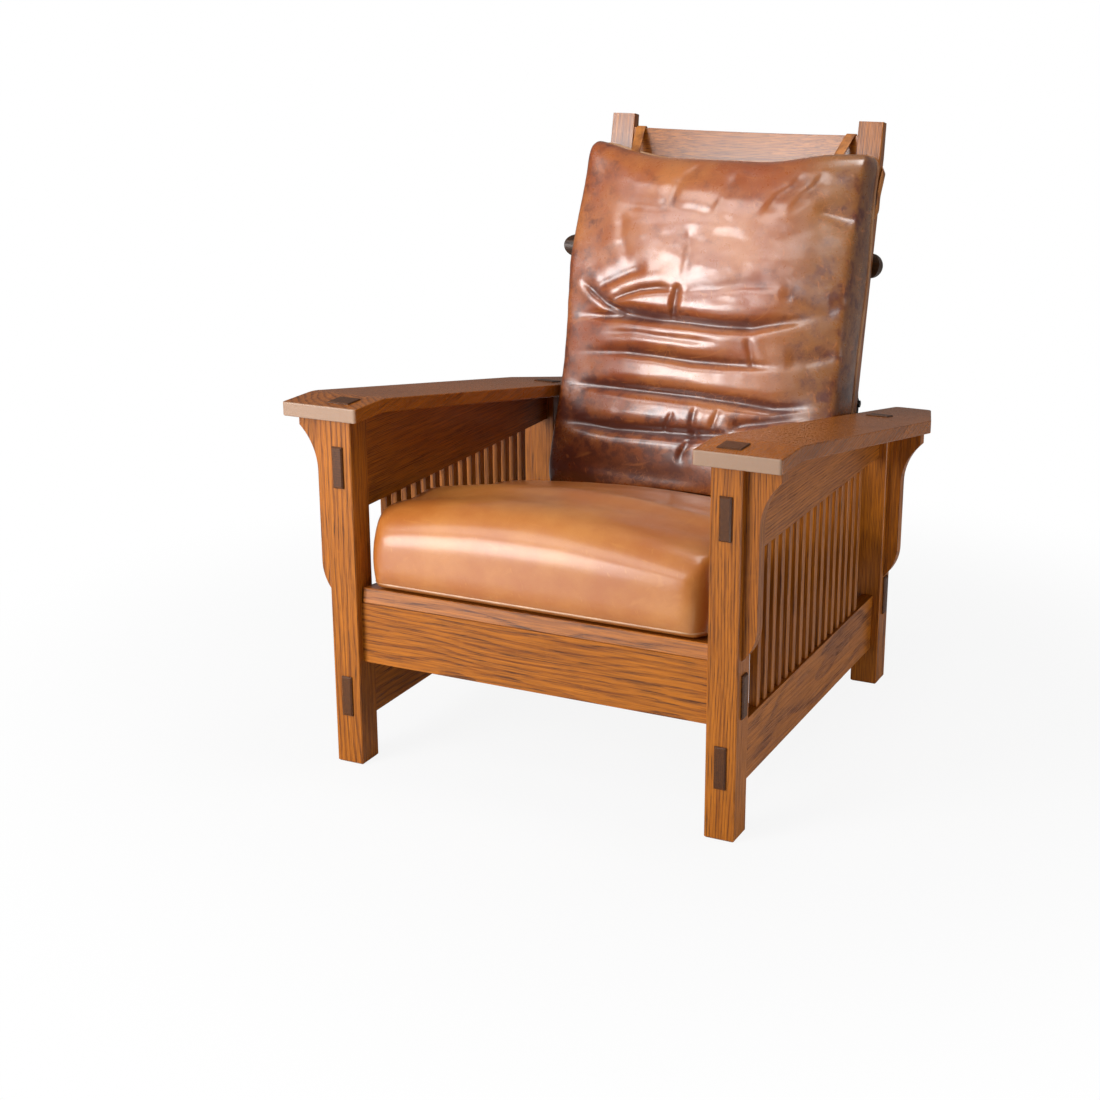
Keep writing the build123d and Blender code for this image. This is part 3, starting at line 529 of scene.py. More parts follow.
@dataclass
class Joinery:
    """The oak frame, its back and its adjusting bar, as packed."""

    nodes: dict[str, Object]
    oak: OakFinish = OakFinish("oak")
    back_oak: OakFinish = OakFinish("oak_back", gloss=0.4, coat=0.9)
    # The arm oak's last colour is a pale painted reflection for the arms' front ends.
    arm_oak: OakFinish = OakFinish(
        "arm_oak", "#b56618", "#74390a", "#2a1104", 0.27, 0.18, 0.4, "#a58c78"
    )
    dark_oak: OakFinish = OakFinish("dark_oak", "#4e3018", "#2b190c", "#120905", 0.38, 0.2, 0.2)
    plain_oak: OakFinish = OakFinish("plain_oak", "#c9a478", "#9a7045", "#5a3a20", 0.6, 0.0, 0.4)

    def dress(self) -> None:
        """Gives every wooden node its own board of oak, in an order that sets its figure."""
        oak, up, deep, across = self.oak, Grain.UPRIGHT, Grain.DEPTH, Grain.ACROSS
        rows: list[tuple[Any, ...]] = []
        for side in ("left", "right"):
            rows += [
                (f"front_leg_{side}", oak, up, 0.0, leg_tops),
                (f"rear_leg_{side}", oak, up, 0.0, leg_tops),
                (f"lower_side_rail_{side}", oak, deep, 0.0, side_tenon_ends),
                (f"upper_side_rail_{side}", oak, deep, 0.0, side_tenon_ends),
                (f"front_corbel_{side}", oak, up),
                (f"rear_corbel_{side}", oak, up),
                (f"spindles_{side}", oak, up),
                (f"arm_{side}", self.arm_oak, deep, -ARM_SLOPE, arm_front_reflection),
                (f"seat_frame_{side}", oak, deep, -SEAT_SLOPE),
                (f"back_stile_{side}", self.back_oak, up, BACK_LEAN),
                (f"back_rack_{side}", self.dark_oak, up, BACK_LEAN),
                (f"prop_arm_{side}", oak, up, -PROP_LEAN),
            ]
        rows += [(f"back_slat_{n}", self.back_oak, across, BACK_LEAN) for n in range(1, 6)]
        rows += [
            ("front_rail", oak, across, 0.0, front_tenon_ends),
            ("rear_rail", oak, across, 0.0, front_tenon_ends),
            ("rear_arm_rail", oak, across),
            ("back_bottom_rail", self.back_oak, across, BACK_LEAN),
            ("seat_frame_front", self.back_oak, across, -SEAT_SLOPE),
            ("seat_frame_rear", oak, across, -SEAT_SLOPE),
            ("seat_cleat_front", self.plain_oak, across),
            ("seat_cleat_rear", self.plain_oak, across),
            ("seat_slats", self.plain_oak, deep, -SEAT_SLOPE),
            ("adjusting_bar", self.dark_oak, across),
        ]
        for seed, (node, finish, *board) in enumerate(rows, start=3):
            clothe(self.nodes[node], finish.material(seed, *board))


@dataclass
class Ironwork:
    """Hinges, brackets, pins and screws."""

    nodes: dict[str, Object]
    finish: SteelFinish = SteelFinish()
    hinges: tuple[str, ...] = ("rail_leaves", "back_leaves", "pins", "rail_screws", "back_screws")
    props: tuple[str, ...] = ("prop_brackets", "prop_pivot_bolts", "bracket_screws", "bar_keepers")

    def dress(self) -> None:
        """Gives the steel parts their finish."""
        steel = self.finish.material()
        for node in (*(f"hinge_{part}" for part in self.hinges), *self.props, "arm_rail_screws"):
            clothe(self.nodes[node], steel)


def smoothed(value: float, low: float, high: float) -> float:
    """A smooth step in Python, 0 at low and 1 at high."""
    share = min(max((value - low) / (high - low), 0.0), 1.0)
    return share * share * (3 - 2 * share)


def linked(name: str, data: Any) -> Object:
    """Puts new data in the scene, at the origin.

    Args:
        name: The object's name.
        data: Its mesh, light or camera.

    Returns:
        The object.
    """
    thing = bpy.data.objects.new(name, data)
    bpy.context.scene.collection.objects.link(thing)
    return thing


def moulded(form: bmesh.types.BMesh, name: str) -> Mesh:
    """Turns a form into a new mesh and frees it.

    Args:
        form: The form.
        name: The mesh's name.

    Returns:
        The mesh.
    """
    mesh = bpy.data.meshes.new(name)
    form.to_mesh(mesh)
    form.free()
    return mesh


def named_object(name: str, mesh: Mesh, material: Material) -> Object:
    """Puts a smooth piece in the scene.

    Args:
        name: The object's name.
        mesh: Its mesh.
        material: Its material.

    Returns:
        The object.
    """
    mesh.name = name
    for face in mesh.polygons:
        face.use_smooth = True
    piece = linked(name, mesh)
    clothe(piece, material)
    return piece


def cord_mesh(points: Sequence[Vector], radius: float) -> Mesh:
    """Sweeps a round cord along a closed path.

    Args:
        points: The path.
        radius: The cord's radius.

    Returns:
        The mesh.
    """
    form = bmesh.new()
    ring = bmesh.ops.create_circle(form, segments=CORD_SIDES, radius=radius)["verts"]
    unit = [v.co.copy() for v in ring]
    normal = None
    for i, point in enumerate(points):
        along = (points[(i + 1) % len(points)] - points[i - 1]).normalized()
        normal = normal or along.orthogonal()
        normal = (normal - along * along.dot(normal)).normalized()
        other = along.cross(normal)
        if i:
            loop = [e for e in form.edges if e.verts[0] in set(ring) and e.verts[1] in set(ring)]
            made = bmesh.ops.extrude_edge_only(form, edges=loop)["geom"]
            fresh = [g for g in made if isinstance(g, bmesh.types.BMVert)]
            ring = [min(fresh, key=lambda v, w=was: (v.co - w.co).length) for was in ring]
        for vert, flat in zip(ring, unit):
            vert.co = point + normal * flat.x + other * flat.y
    bmesh.ops.bridge_loops(form, edges=[e for e in form.edges if e.is_boundary])
    bmesh.ops.recalc_face_normals(form, faces=form.faces)
    return moulded(form, "cord")


def eased(points: Sequence[Vector]) -> list[Vector]:
    """Runs a smooth curve through some points.

    Args:
        points: The points.

    Returns:
        The points of the curve.
    """
    ends = [points[0] * 2 - points[1], *points, points[-1] * 2 - points[-2]]
    curve: list[Vector] = []
    for a, b, c, d in zip(ends, ends[1:], ends[2:], ends[3:]):
        for step in range(CURVE_STEPS):
            t = step / CURVE_STEPS
            square, cube = a * 2 - b * 5 + c * 4 - d, b * 3 - a - c * 3 + d
            curve.append((b * 2 + (c - a) * t + square * t * t + cube * t**3) / 2)
    return [*curve, points[-1].copy()]


def strap_mesh(path: list[Vector], lay: list[Vector], width: float, thickness: float) -> Mesh:
    """Lays a flat strap along a path.

    Args:
        path: Middle line of the strap.
        lay: Direction of its width at each point of the path.
        width: Its width.
        thickness: Its thickness.

    Returns:
        The mesh.
    """
    middle, sides = eased(path), eased(lay)
    rows = len(middle) - 1
    form = bmesh.new()
    bmesh.ops.create_grid(form, x_segments=4, y_segments=rows, size=0.5)
    for vert in form.verts:
        row = round((vert.co.y + 0.5) * rows)
        across = vert.co.x
        vert.co = middle[row] + sides[row].normalized() * (across * width)
    bmesh.ops.recalc_face_normals(form, faces=form.faces)
    bmesh.ops.solidify(form, geom=form.faces[:], thickness=thickness)
    rim = [e for e in form.edges if e.is_manifold and e.calc_face_angle() > 1.0]
    edge = thickness * 0.28
    bmesh.ops.bevel(
        form, geom=rim, offset=edge, segments=2, profile=0.5, affect="EDGES", material=-1
    )
    bmesh.ops.recalc_face_normals(form, faces=form.faces)
    return moulded(form, "strap")


@dataclass
class Crease:
    """One fold pressed into a cushion's face, along a path over it."""

    points: Sequence[Pair]
    depth: float
    width: float

    def sunk(self, across: float, up: float) -> Pair:
        """How far the fold moves a place on the face, below 0 being inwards.

        Args:
            across: Sideways place on the face.
            up: Place along the face.

        Returns:
            The move in metres, and how deep in the fold's shade the place lies, from 0 to 1.
        """
        best, share_at = 1e9, 0.0
        lengths = len(self.points) - 1
        for i, ((x0, y0), (x1, y1)) in enumerate(zip(self.points, self.points[1:])):
            dx, dy = x1 - x0, y1 - y0
            t = ((across - x0) * dx + (up - y0) * dy) / (dx * dx + dy * dy)
            t = min(max(t, 0.0), 1.0)
            gap = math.hypot(across - x0 - t * dx, up - y0 - t * dy)
            if gap < best:
                best, share_at = gap, (i + t) / lengths
                side = (up - y0) * dx - (across - x0) * dy
        fade = smoothed(share_at, 0.0, 0.25) * smoothed(1 - share_at, 0.0, 0.25)
        q = best / self.width
        above = side > 0
        valley = -1.15 / (1 + ((1.1 if above else 1.7) * q) ** 2.4)
        puff = 0.16 * math.exp(-((q - (2.6 if above else 1.5)) ** 2))
        # A dark band over the fold's upper wall: painted shade for the leather's colour.
        dim = math.exp(-(((q - 0.45) if above else (q * 2.2)) ** 2))
        shade = fade * dim * min(self.depth / 0.010, 1.0)
        return self.depth * fade * (valley + puff), shade


@dataclass
class Cushion:
    """A stuffed leather cushion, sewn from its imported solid."""

    name: str
    node: str
    body: str
    slot: str
    voxel: float
    shrink: float
    cap: float
    fill: float
    origin: Vector
    lean: float
    seam_level: float
    seam_half: Pair
    seam_middle: float
    welt: float
    cord_seed: float
    foot_lift: float = 0.0
    pressure: float = 4.0

    def __post_init__(self) -> None:
        """Works out the turn between the row frame and the cushion's own."""
        self.to_world = Matrix.Rotation(self.lean, 3, "X")
        self.to_local = self.to_world.inverted()

    def local(self, place: Vector) -> Vector:
        """A place in the cushion's own frame."""
        return self.to_local @ (place - self.origin)

    def world(self, place: Vector) -> Vector:
        """A place in the row frame."""
        return self.to_world @ place + self.origin

    def sew(self, nodes: dict[str, Object]) -> Mesh:
        """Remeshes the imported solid, fills it and refines it once.

        Args:
            nodes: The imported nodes.

        Returns:
            The cover's mesh, in the row frame.
        """
        mesh = nodes[self.node].data.copy()
        form = bmesh.new()
        form.from_mesh(mesh)
        bmesh.ops.remove_doubles(form, verts=form.verts, dist=1e-5)
        bmesh.ops.recalc_face_normals(form, faces=form.faces)
        form.to_mesh(mesh)
        form.free()
        piece = linked(f"{self.name}_work", mesh)
        self.modify(piece, "REMESH", mode="VOXEL", voxel_size=self.voxel)
        self.pull_in(piece.data)
        self.stuff(piece)
        self.modify(piece, "SUBSURF", levels=1, render_levels=1)
        cover = piece.data
        bpy.data.objects.remove(piece)
        return cover

    def modify(self, piece: Object, kind: str, **settings: Any) -> None:
        """Shapes a piece with one modifier and applies it.

        Args:
            piece: The piece.
            kind: The modifier's type.
            settings: Its properties.
        """
        modifier = piece.modifiers.new(kind.lower(), kind)
        for key, value in settings.items():
            setattr(modifier, key, value)
        piece.data = self.baked(piece)
        piece.modifiers.clear()

    @staticmethod
    def baked(piece: Object) -> Mesh:
        """The piece's mesh with its modifiers applied."""
        graph = bpy.context.evaluated_depsgraph_get()
        return bpy.data.meshes.new_from_object(piece.evaluated_get(graph))

    def pull_in(self, mesh: Mesh) -> None:
        """Starts the cover smaller than the solid, so that stuffing swells it out.

        Args:
            mesh: The remeshed cover.
        """
        form = bmesh.new()
        form.from_mesh(mesh)
        for _ in range(3):
            axes = {"use_axis_x": True, "use_axis_y": True, "use_axis_z": True}
            bmesh.ops.smooth_vert(form, verts=form.verts, factor=0.5, **axes)
        form.normal_update()
        for vert in form.verts:
            vert.co -= vert.normal * self.shrink * self.freedom(self.local(vert.co))
        form.to_mesh(mesh)
        form.free()

    def freedom(self, place: Vector) -> float:
        """How freely the cover may swell there, from 0 where it rests to 1."""
        return 1.0

    def stuff(self, piece: Object) -> None:
        """Blows the cover up against its seams with a cloth simulation.

        Args:
            piece: The cover.
        """
        start = [v.co.copy() for v in piece.data.vertices]
        held = piece.vertex_groups.new(name="held")
        for vert in piece.data.vertices:
            held.add([vert.index], 1.0 - self.freedom(self.local(vert.co)), "REPLACE")
        cloth = piece.modifiers.new("cover", "CLOTH")
        rules = cloth.settings
        rules.use_pressure = True
        rules.uniform_pressure_force = self.pressure
        rules.effector_weights.gravity = 0.0
        rules.vertex_group_mass = "held"
        rules.mass = 0.4
        rules.quality = 5
        rules.tension_stiffness = 18.0
        rules.compression_stiffness = 12.0
        rules.bending_stiffness = 0.4
        for frame in range(1, 21):
            bpy.context.scene.frame_set(frame)
        filled = self.baked(piece)
        for vert, was in zip(filled.vertices, start):
            move = vert.co - was
            if move.length > self.cap:
                vert.co = was + move * (self.cap / move.length)
        piece.modifiers.clear()
        piece.vertex_groups.clear()
        piece.data = filled
        bpy.context.scene.frame_set(1)

    def outline(self, mesh: Mesh) -> list[Vector]:
        """Finds where the cover's outline lies at the level of its piped seam.

        Args:
            mesh: The finished cover.

        Returns:
            The seam's points in the cushion's own frame.
        """
        skin = BVHTree.FromPolygons(
            [self.local(v.co) for v in mesh.vertices], [tuple(f.vertices) for f in mesh.polygons]
        )
        wide, long = self.seam_half
        around = 4 * (wide + long)
        centre = self.on_level(0.0, self.seam_middle)
        points: list[Vector] = []
        for step in range(SEAM_STEPS):
            at = around * step / SEAM_STEPS
            across = min(max(min(at - wide, 3 * wide + 2 * long - at), -wide), wide)
            along = min(max(min(at - 2 * wide - long, 4 * wide + 3 * long - at), -long), long)
            outer = self.on_level(across * 1.6, self.seam_middle + along * 1.6)
            hit = skin.ray_cast(outer, centre - outer)[0]
            if hit is not None:
                points.append(hit)
        for _ in range(3):
            points = [
                (points[i - 1] + points[i] * 2 + points[(i + 1) % len(points)]) / 4
                for i in range(len(points))
            ]
        for point in points:
            point.z += self.foot_lift * smoothed(point.z, 0.17, 0.12)
        return points

    def on_level(self, across: float, along: float) -> Vector:
        """A place in the plane of the seam."""
        return Vector((across, along, self.seam_level))

    def shape(self, mesh: Mesh) -> None:
        """Leaves the cover as it is here; each kind of cushion gives it its folds and rests it on
        its neighbours.
        """

    def cover(self, leather: LeatherFinish) -> Material:
        """The cover's leather."""
        return leather.material(0.0)

    def build(
        self, nodes: dict[str, Object], leather: LeatherFinish, cord: LeatherFinish
    ) -> Object:
        """Sews the cushion and the corded welt along its seam.

        Args:
            nodes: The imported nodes.
            leather: The cover's finish.
            cord: The welt's finish.

        Returns:
            The cushion.
        """
        mesh = self.sew(nodes)
        self.shape(mesh)
        path = [self.world(p) for p in self.outline(mesh)]
        piece = named_object(self.name, mesh, self.cover(leather))
        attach(piece, self.body)
        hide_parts(self.node)
        cording = cord_mesh(path, self.welt)
        piping = named_object(f"{self.node}_piping", cording, cord.material(self.cord_seed))
        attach(piping, self.body)
        log.info("sewed %s: %d faces, %d points piped", self.name, len(mesh.polygons), len(path))
        return piece


@dataclass
class SeatCushion(Cushion):
    """The thick crowned seat cushion, boxed at the front and sides."""

    name: str = "seat_cushion_leather"
    node: str = "seat_cushion"
    body: str = "frame"
    slot: str = "seat_leather"
    voxel: float = 0.008
    shrink: float = 0.004
    cap: float = 0.022
    fill: float = 0.9
    origin: Vector = field(default_factory=SEAT_ORIGIN.copy)
    lean: float = -SEAT_SLOPE
    seam_level: float = SEAT_BOARD + 0.012
    seam_half: Pair = (0.29, 0.345)
    seam_middle: float = 0.34
    welt: float = 0.0022
    cord_seed: float = 0.4

    def freedom(self, place: Vector) -> float:
        """Free in the middle of its panels, held on the boards and along its boxed edges."""
        inner = smoothed(min(0.298 - abs(place.x), place.y + 0.016), 0.0, 0.12)
        return smoothed(place.z, SEAT_BOARD + 0.002, SEAT_BOARD + 0.03) * (0.12 + 0.38 * inner)

    def shape(self, mesh: Mesh) -> None:
        """Rests the cover on the boards and lays its faint wrinkles.

        Args:
            mesh: The finer cover.
        """
        for vert in mesh.vertices:
            place = self.local(vert.co)
            top = smoothed(place.z, 0.08, 0.13)
            ripple = noise.noise(Vector((place.x * 9, place.y * 26, 3.0))) * 0.0012
            place.z += ripple * top
            place.z = max(place.z, SEAT_BOARD + 0.0006)
            vert.co = self.world(place)

    def cover(self, leather: LeatherFinish) -> Material:
        """Leather with painted shade on the sides."""
        return leather.material(1.7, self.sides)

    def sides(self, graph: Graph) -> Signal:
        """Marks the boxed sides between the arms, which get painted shade."""
        across, depth, _ = graph.axes()
        return graph.maths("ABSOLUTE", across).step(0.262, 0.276) * depth.step(-0.46, -0.33) * 1.6


# Each fold's depth and width, then its path across and up the cushion's face, in millimetres.
FOLDS = (
    (14, 12, (-270, 400), (-143, 403), (-26, 402), (43, 400), (106, 402), (250, 438)),
    (8, 9, (-245, 468), (-207, 442), (-181, 425), (-144, 412), (-50, 404)),
    (4, 11, (-210, 452), (-181, 463), (-137, 485), (-100, 494)),
    (6, 8, (-180, 430), (-147, 442), (-113, 454), (-78, 460), (-30, 459)),
    (6, 7, (-40, 475), (-42, 451), (-43, 438), (-46, 400)),
    (3, 14, (-60, 458), (35, 466), (82, 476), (200, 488)),
    (8, 11, (-260, 330), (-135, 339), (-74, 338), (2, 334), (75, 335), (220, 340)),
    (3, 9, (-200, 370), (-120, 376), (-30, 372), (60, 370)),
    (12, 12, (-280, 272), (-142, 273), (10, 271), (88, 268), (156, 264), (250, 276)),
    (13, 12, (-280, 214), (-144, 202), (-57, 203), (18, 205), (140, 214)),
    (6, 10, (80, 222), (112, 232), (159, 242), (240, 258)),
    (4, 16, (-240, 155), (-120, 146), (-44, 142), (80, 142)),
    (2, 6, (18, 256), (16, 242), (13, 200)),
    (2, 6, (64, 260), (50, 215)),
    (2, 6, (-22, 245), (-42, 203)),
    (3, 8, (25, 215), (-6, 160)),
    (2, 7, (102, 390), (116, 325)),
    (3, 16, (150, 460), (178, 466), (242, 445), (300, 476)),
    (3, 16, (170, 350), (211, 353), (280, 372)),
    (3, 14, (-20, 700), (-45, 674), (-67, 650), (-85, 595)),
    (2, 12, (45, 680), (32, 642), (8, 590)),
    (3, 14, (170, 690), (148, 654), (124, 635), (100, 590)),
    (2.5, 12, (205, 690), (185, 656), (170, 642), (145, 600)),
    (2, 18, (-200, 606), (-71, 604), (50, 590)),
    (1.5, 14, (-170, 600), (-165, 550), (-140, 500)),
    (1.5, 12, (-30, 580), (-25, 530), (-30, 470)),
    (3, 12, (190, 620), (239, 612), (300, 600)),
)


@dataclass
class BackCushion(Cushion):
    """The box-edged back cushion, slumped against the slats and deeply creased."""

    name: str = "back_cushion_leather"
    node: str = "back_cushion"
    body: str = "back"
    slot: str = "back_leather"
    voxel: float = 0.0065
    shrink: float = 0.005
    cap: float = 0.014
    fill: float = 0.55
    origin: Vector = field(default_factory=HINGE.copy)
    lean: float = -BACK_LEAN
    seam_level: float = 0.032
    seam_half: Pair = (0.26, 0.29)
    seam_middle: float = 0.41
    welt: float = 0.0033
    cord_seed: float = 0.9
    seat: Object | None = None
    foot_lift: float = 0.0034
    sag: float = 0.020
    clear: float = 0.0012
    press: float = 0.009
    droop: float = 0.010
    peak: float = 0.006
    creases: tuple[Crease, ...] = tuple(
        Crease([(x / 1000, y / 1000) for x, y in path], depth / 1000, width / 1000)
        for depth, width, *path in FOLDS
    )

    def freedom(self, place: Vector) -> float:
        """Free in front of the slats, held against them and along the box's edges."""
        inner = smoothed(min(0.276 - abs(place.x), 0.723 - place.z, place.z - 0.098), 0.0, 0.075)
        return smoothed(STILE_FRONT - place.y, 0.002, 0.03) * (0.08 + 0.42 * inner)

    def shape(self, mesh: Mesh) -> None:
        """Presses the creases in and lays the cover against the stiles.

        Args:
            mesh: The finer cover.
        """
        # Painted shade along the creases, kept for the leather's colour.
        shade = mesh.attributes.new("fold", "FLOAT", "POINT")
        for vert in mesh.vertices:
            place = self.local(vert.co)
            rise = smoothed(place.z, 0.60, 0.72)
            place.z -= self.sag * rise * (1 - smoothed(abs(place.x + 0.02), 0.09, 0.24))
            face = smoothed(-place.y, 0.09, 0.135)
            if face > 0:
                pressed = [c.sunk(place.x, place.z) for c in self.creases]
                wander = noise.noise(Vector((place.x * 7, place.z * 17, 1.0))) * 0.0026
                fine = noise.noise(Vector((place.x * 34, place.z * 60, 5.0))) * 0.0004
                place.y -= (sum(move for move, _ in pressed) + wander + fine) * face
                shade.data[vert.index].value = min(sum(s for _, s in pressed), 1.0) * face
            corner = smoothed(abs(place.x), 0.20, 0.27) * smoothed(place.z, 0.66, 0.72)
            place.x += math.copysign(self.peak * corner, place.x)
            place.z += self.peak * corner * (1.3 if place.x < 0 else 0.4)
            place.y = min(place.y, STILE_FRONT - 0.0006)
            vert.co = self.world(place)
        self.settle(mesh)

    def on_level(self, across: float, along: float) -> Vector:
        """A place in the plane of the seam, which stands parallel to the slats."""
        return Vector((across, STILE_FRONT - self.seam_level, along))

    def settle(self, mesh: Mesh) -> None:
        """Lets the cushion's foot down along the slats, until it all but rests on the seat.

        Args:
            mesh: The creased cover.
        """
        seat = self.seat.data
        top = BVHTree.FromPolygons(
            [v.co for v in seat.vertices], [tuple(f.vertices) for f in seat.polygons]
        )

        def under(place: Vector) -> Vector | None:
            """Where the seat's top lies under or just over a place."""
            return top.ray_cast(place - DOWN * 0.1, DOWN)[0]

        half, step = 0.30, 0.01
        count = int(2 * half / step) + 1
        for _ in range(2):
            gaps: list[float | None] = [None] * count
            for vert in mesh.vertices:
                if self.local(vert.co).z > 0.2:
                    continue
                hit = under(vert.co)
                if hit is not None:
                    at = round((vert.co.x + half) / step)
                    was = gaps[at]
                    gap = vert.co.z - hit.z
                    gaps[at] = gap if was is None else min(was, gap)
            known = [i for i, gap in enumerate(gaps) if gap is not None]
            full = [gaps[min(max(i, known[0]), known[-1])] for i in range(count)]
            least = [min(full[max(i - 2, 0) : i + 3]) for i in range(count)]
            near = [least[max(i - 2, 0) : i + 3] for i in range(count)]
            even = [sum(some) / len(some) for some in near]
            for vert in mesh.vertices:
                place = self.local(vert.co)
                at = (vert.co.x + half) / step
                low = min(int(at), count - 2)
                gap = even[low] + (even[low + 1] - even[low]) * (at - low)
                place.z -= (gap - self.clear) * (1 - smoothed(place.z, 0.12, 0.30))
                vert.co = self.world(place)
        for vert in mesh.vertices:
            place = self.local(vert.co)
            if place.z > 0.2:
                continue
            place.z -= self.press
            low = self.world(place)
            hit = under(low)
            above = self.press if hit is None else low.z - hit.z - self.clear
            if above < self.press:
                low.z += (self.press - above) / 2
            vert.co = vert.co.lerp(low, 1 - smoothed(place.z, 0.12, 0.19))
        for vert in mesh.vertices:
            place = self.local(vert.co)
            hit = under(vert.co)
            if hit is None or place.z > 0.17:
                continue
            gap = max(vert.co.z - hit.z - self.clear, 0.0)
            place.z -= min(gap * 0.85, self.droop) * (1 - smoothed(place.z, 0.11, 0.17))
            vert.co = self.world(place)
        log.info("settled %s on the seat", self.name)

    def cover(self, leather: LeatherFinish) -> Material:
        """Leather that is darker at the bottom and side edges, and sunned on one side."""
        return leather.material(4.2, self.edges, self.sunned)

    def edges(self, graph: Graph) -> Signal:
        """Marks the bottom and both side edges, which are made darker."""
        across, _, up = graph.axes()
        return up.step(0.6, 0.36) * 0.6 + graph.maths("ABSOLUTE", across).step(0.14, 0.28) * 0.35

    def sunned(self, graph: Graph) -> Signal:
        """Marks the side that faces the light, which has turned olive."""
        across, _, _ = graph.axes()
        return across.step(0.1, 0.24)


@dataclass
class Straps:
    """The flat leather straps that hold the back cushion to its frame.

    Places are across, to the rear of the hinge line and up the stile, in millimetres.
    """

    finish: StrapFinish = StrapFinish()
    width: float = 0.018
    thickness: float = 0.0024
    buckle: Triple = (269, -42, 623)
    over_slat: tuple[Triple, ...] = (
        (193, -72, 690), (196, -66, 714), (201, -46, 741), (205, -30, 760.5), (206, -21, 765.2),
        (206, -13.8, 758), (206, -13.6, 730), (206, -14.2, 706), (206, -21, 700.8),
        (204, -32, 697), (202, -42, 692),
    )
    round_stile: tuple[Triple, ...] = (
        (252, -56, 610), (266, -47, 618), (270.5, -36, 632), (267.2, -24, 660), (266.8, -12, 690),
        (264.5, -3.8, 705), (252, -3, 710.5), (232, -3, 712), (219.5, -4.5, 711),
        (217.2, -14, 704), (217.5, -27, 686), (226, -37, 672),
    )
    stile_lay: tuple[Pair, ...] = (
        (0.3, 0.95), (0.3, 0.95), (0.93, -0.37), (0.93, -0.37), (0.93, -0.37), (0.9, -0.42),
        (0.25, -0.97), (0.1, -1), (0.25, -0.97), (0.9, -0.42), (0.9, -0.42), (0.5, -0.86),
    )

    def build(self) -> None:
        """Lays the four straps and their keepers."""
        leather = self.finish.material()
        for side, name in ((-1, "left"), (1, "right")):
            top = [self.place(side, p) for p in self.over_slat]
            self.sew("top_strap", name, top, [Vector((1, 0, 0))] * len(top), leather)
            turn = [self.place(side, p) for p in self.round_stile]
            flat = [Vector((0, *way)) for way in self.stile_lay]
            piece = self.sew("side_strap", name, turn, flat, leather)
            keeper = named_object(f"side_strap_keeper_{name}", self.keeper(side), leather)
            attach(keeper, "back")
            log.info("buckled %s and its keeper", piece.name)

    def place(self, side: int, spot: Triple) -> Vector:
        """A place on the back in the row frame."""
        across, depth, up = (part / 1000 for part in spot)
        return Matrix.Rotation(-BACK_LEAN, 3, "X") @ Vector((side * across, depth, up)) + HINGE

    def keeper(self, side: int) -> Mesh:
        """Folds the small keeper that gathers the side strap at the cushion's piping.

        Args:
            side: -1 for the left, 1 for the right.

        Returns:
            The mesh.
        """
        form = bmesh.new()
        bmesh.ops.create_cube(form, size=1.0)
        bmesh.ops.scale(form, vec=(0.008, 0.016, 0.011), verts=form.verts)
        rim = form.edges[:]
        bmesh.ops.bevel(
            form, geom=rim, offset=0.0024, segments=3, profile=0.5, affect="EDGES", material=-1
        )
        bmesh.ops.rotate(form, matrix=Matrix.Rotation(0.5, 3, "X"), verts=form.verts)
        bmesh.ops.translate(form, vec=self.place(side, self.buckle), verts=form.verts)
        return moulded(form, "keeper")

    def sew(
        self, kind: str, side: str, path: list[Vector], lay: list[Vector], leather: Material
    ) -> Object:
        """Makes one strap in place of its packed band.

        Args:
            kind: Which of the straps it is.
            side: Its side.
            path: Its middle line.
            lay: Directions of its width.
            leather: Its material.

        Returns:
            The strap.
        """
        turned = [Matrix.Rotation(-BACK_LEAN, 3, "X") @ way for way in lay]
        mesh = strap_mesh(path, turned, self.width, self.thickness)
        piece = named_object(f"{kind}_leather_{side}", mesh, leather)
        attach(piece, "back")
        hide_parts(f"{kind}_{side}")
        return piece


@dataclass
class SoftLight:
    """One rectangular softbox."""

    name: str
    place: Triple
    aim: Triple
    size: Pair
    watts: float

    def hang(self) -> None:
        """Hangs the softbox."""
        lamp = bpy.data.lights.new(self.name, "AREA")
        lamp.shape = "RECTANGLE"
        lamp.size, lamp.size_y = self.size
        lamp.energy = self.watts
        light = linked(self.name, lamp)
        light.location = self.place
        light.visible_camera = False
        way = Vector(self.aim) - Vector(self.place)
        light.rotation_euler = way.to_track_quat("-Z", "Y").to_euler()


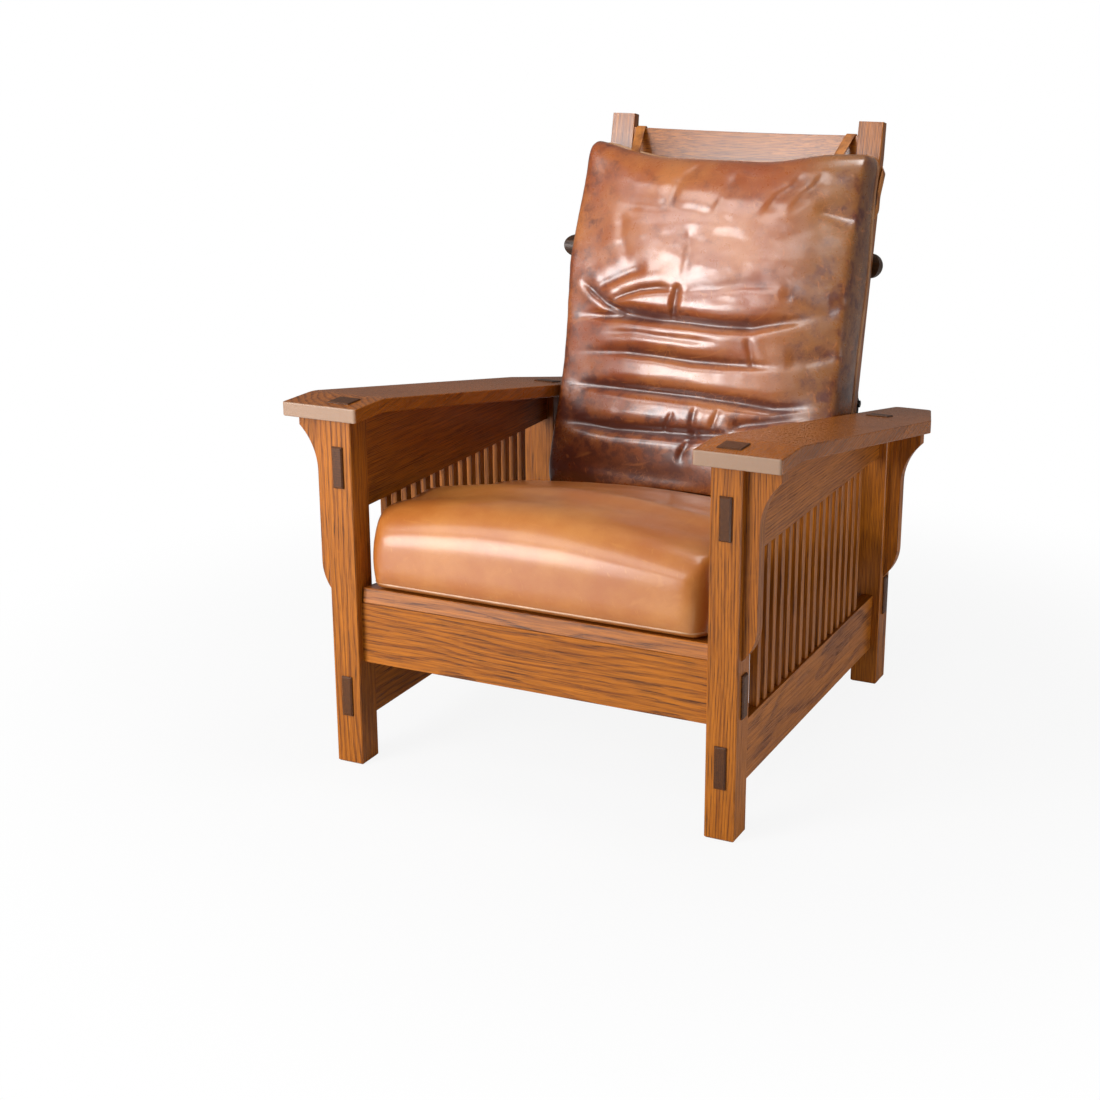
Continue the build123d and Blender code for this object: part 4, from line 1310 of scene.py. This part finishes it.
@dataclass
class Studio:
    """White floor, white surroundings, softboxes and the camera."""

    camera_place: Triple = (1.27236, -2.92438, 1.30151)
    yaw: float = 26.77
    pitch: float = 17.84
    roll: float = -0.43
    lens: float = 61.71
    ambient: float = 0.18
    lights: tuple[SoftLight, ...] = (
        SoftLight("window_left", (-1.35, -2.6, 1.15), (0.0, 0.0, 0.6), (1.15, 1.7), 78.0),
        SoftLight("high_window", (-1.2, -2.3, 3.0), (0.0, -0.2, 0.4), (2.6, 0.9), 34.0),
        SoftLight("overhead", (0.5, 0.1, 3.2), (0.0, -0.1, 0.5), (1.2, 1.2), 34.0),
        SoftLight("right_low", (1.5, -0.1, 0.08), (0.3, 0.05, 0.22), (1.8, 0.2), 7.0),
    )

    def build(self) -> None:
        """Sets up the studio."""
        self.surround()
        self.floor()
        for light in self.lights:
            light.hang()
        self.camera()
        bpy.context.scene.view_settings.view_transform = "Standard"

    def surround(self) -> None:
        """Lights the object from a pale room that the camera sees as white."""
        world = bpy.data.worlds.new("room")
        bpy.context.scene.world = world
        graph = Graph(world, "ShaderNodeOutputWorld")
        path = graph.lay("ShaderNodeLightPath")
        room = {"Color": (0.97, 0.985, 1.0, 1.0), "Strength": self.ambient}
        lit = graph.lay("ShaderNodeBackground", None, room)
        seen = graph.lay("ShaderNodeBackground", None, {"Color": WHITE, "Strength": 1.0})
        rays = Signal(graph, path.outputs["Is Camera Ray"])
        graph.end(graph.blend_shaders(rays, lit, seen))

    def floor(self) -> None:
        """Lays a white floor that keeps the chair's shadow and fades into the white room."""
        graph = Graph.named("white_floor")
        across, depth, _ = graph.axes()
        away = ((across * across + depth * depth) ** 0.5).step(0.7, 1.5)
        path = graph.lay("ShaderNodeLightPath")
        seen = Signal(graph, path.outputs["Is Camera Ray"])
        matt = graph.lay("ShaderNodeBsdfDiffuse", None, {"Color": (0.62, 0.62, 0.62, 1.0)})
        glow = graph.lay("ShaderNodeEmission", None, {"Color": WHITE, "Strength": 1.0})
        material = graph.end(graph.blend_shaders(seen * (away * 0.1 + 0.9), matt, glow))
        form = bmesh.new()
        bmesh.ops.create_grid(form, x_segments=1, y_segments=1, size=20.0)
        floor = named_object("floor", moulded(form, "floor"), material)

    def camera(self) -> None:
        """Puts the camera where the photograph was taken."""
        data = bpy.data.cameras.new("photograph")
        data.sensor_width = 36.0
        data.sensor_fit = "AUTO"
        data.lens = self.lens
        data.clip_end = 60.0
        camera = linked("photograph", data)
        turn = (
            Matrix.Rotation(math.radians(self.yaw), 4, "Z")
            @ Matrix.Rotation(math.radians(90 - self.pitch), 4, "X")
            @ Matrix.Rotation(math.radians(self.roll), 4, "Z")
        )
        camera.matrix_world = Matrix.Translation(self.camera_place) @ turn
        bpy.context.scene.camera = camera


def main() -> None:
    """Builds the dressed chair."""
    logging.basicConfig(level=logging.INFO, format="%(message)s")
    for thing in list(bpy.data.objects):
        bpy.data.objects.remove(thing)
    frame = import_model()
    nodes = frame["nodes"]
    Joinery(nodes).dress()
    Ironwork(nodes).dress()
    cord = LeatherFinish("piping_leather", "#a8714a", "#c79a70", "#7a4629")
    waxed = {"coat": 0.6, "wear": 0.25}
    seat = LeatherFinish("seat_leather", "#ad6226", "#c17c3a", "#7c421a", **waxed)
    worn = {"gloss": 0.25, "coat": 1.0, "wear": 0.45, "crackle": 0.6, "sheen": 0.8}
    back = LeatherFinish("back_leather", "#99491d", "#b86f38", "#5a210c", **worn)
    seat_cushion = SeatCushion().build(nodes, seat, cord)
    BackCushion(seat=seat_cushion).build(nodes, back, cord)
    Straps().build()
    Studio().build()


if __name__ == "__main__":
    main()
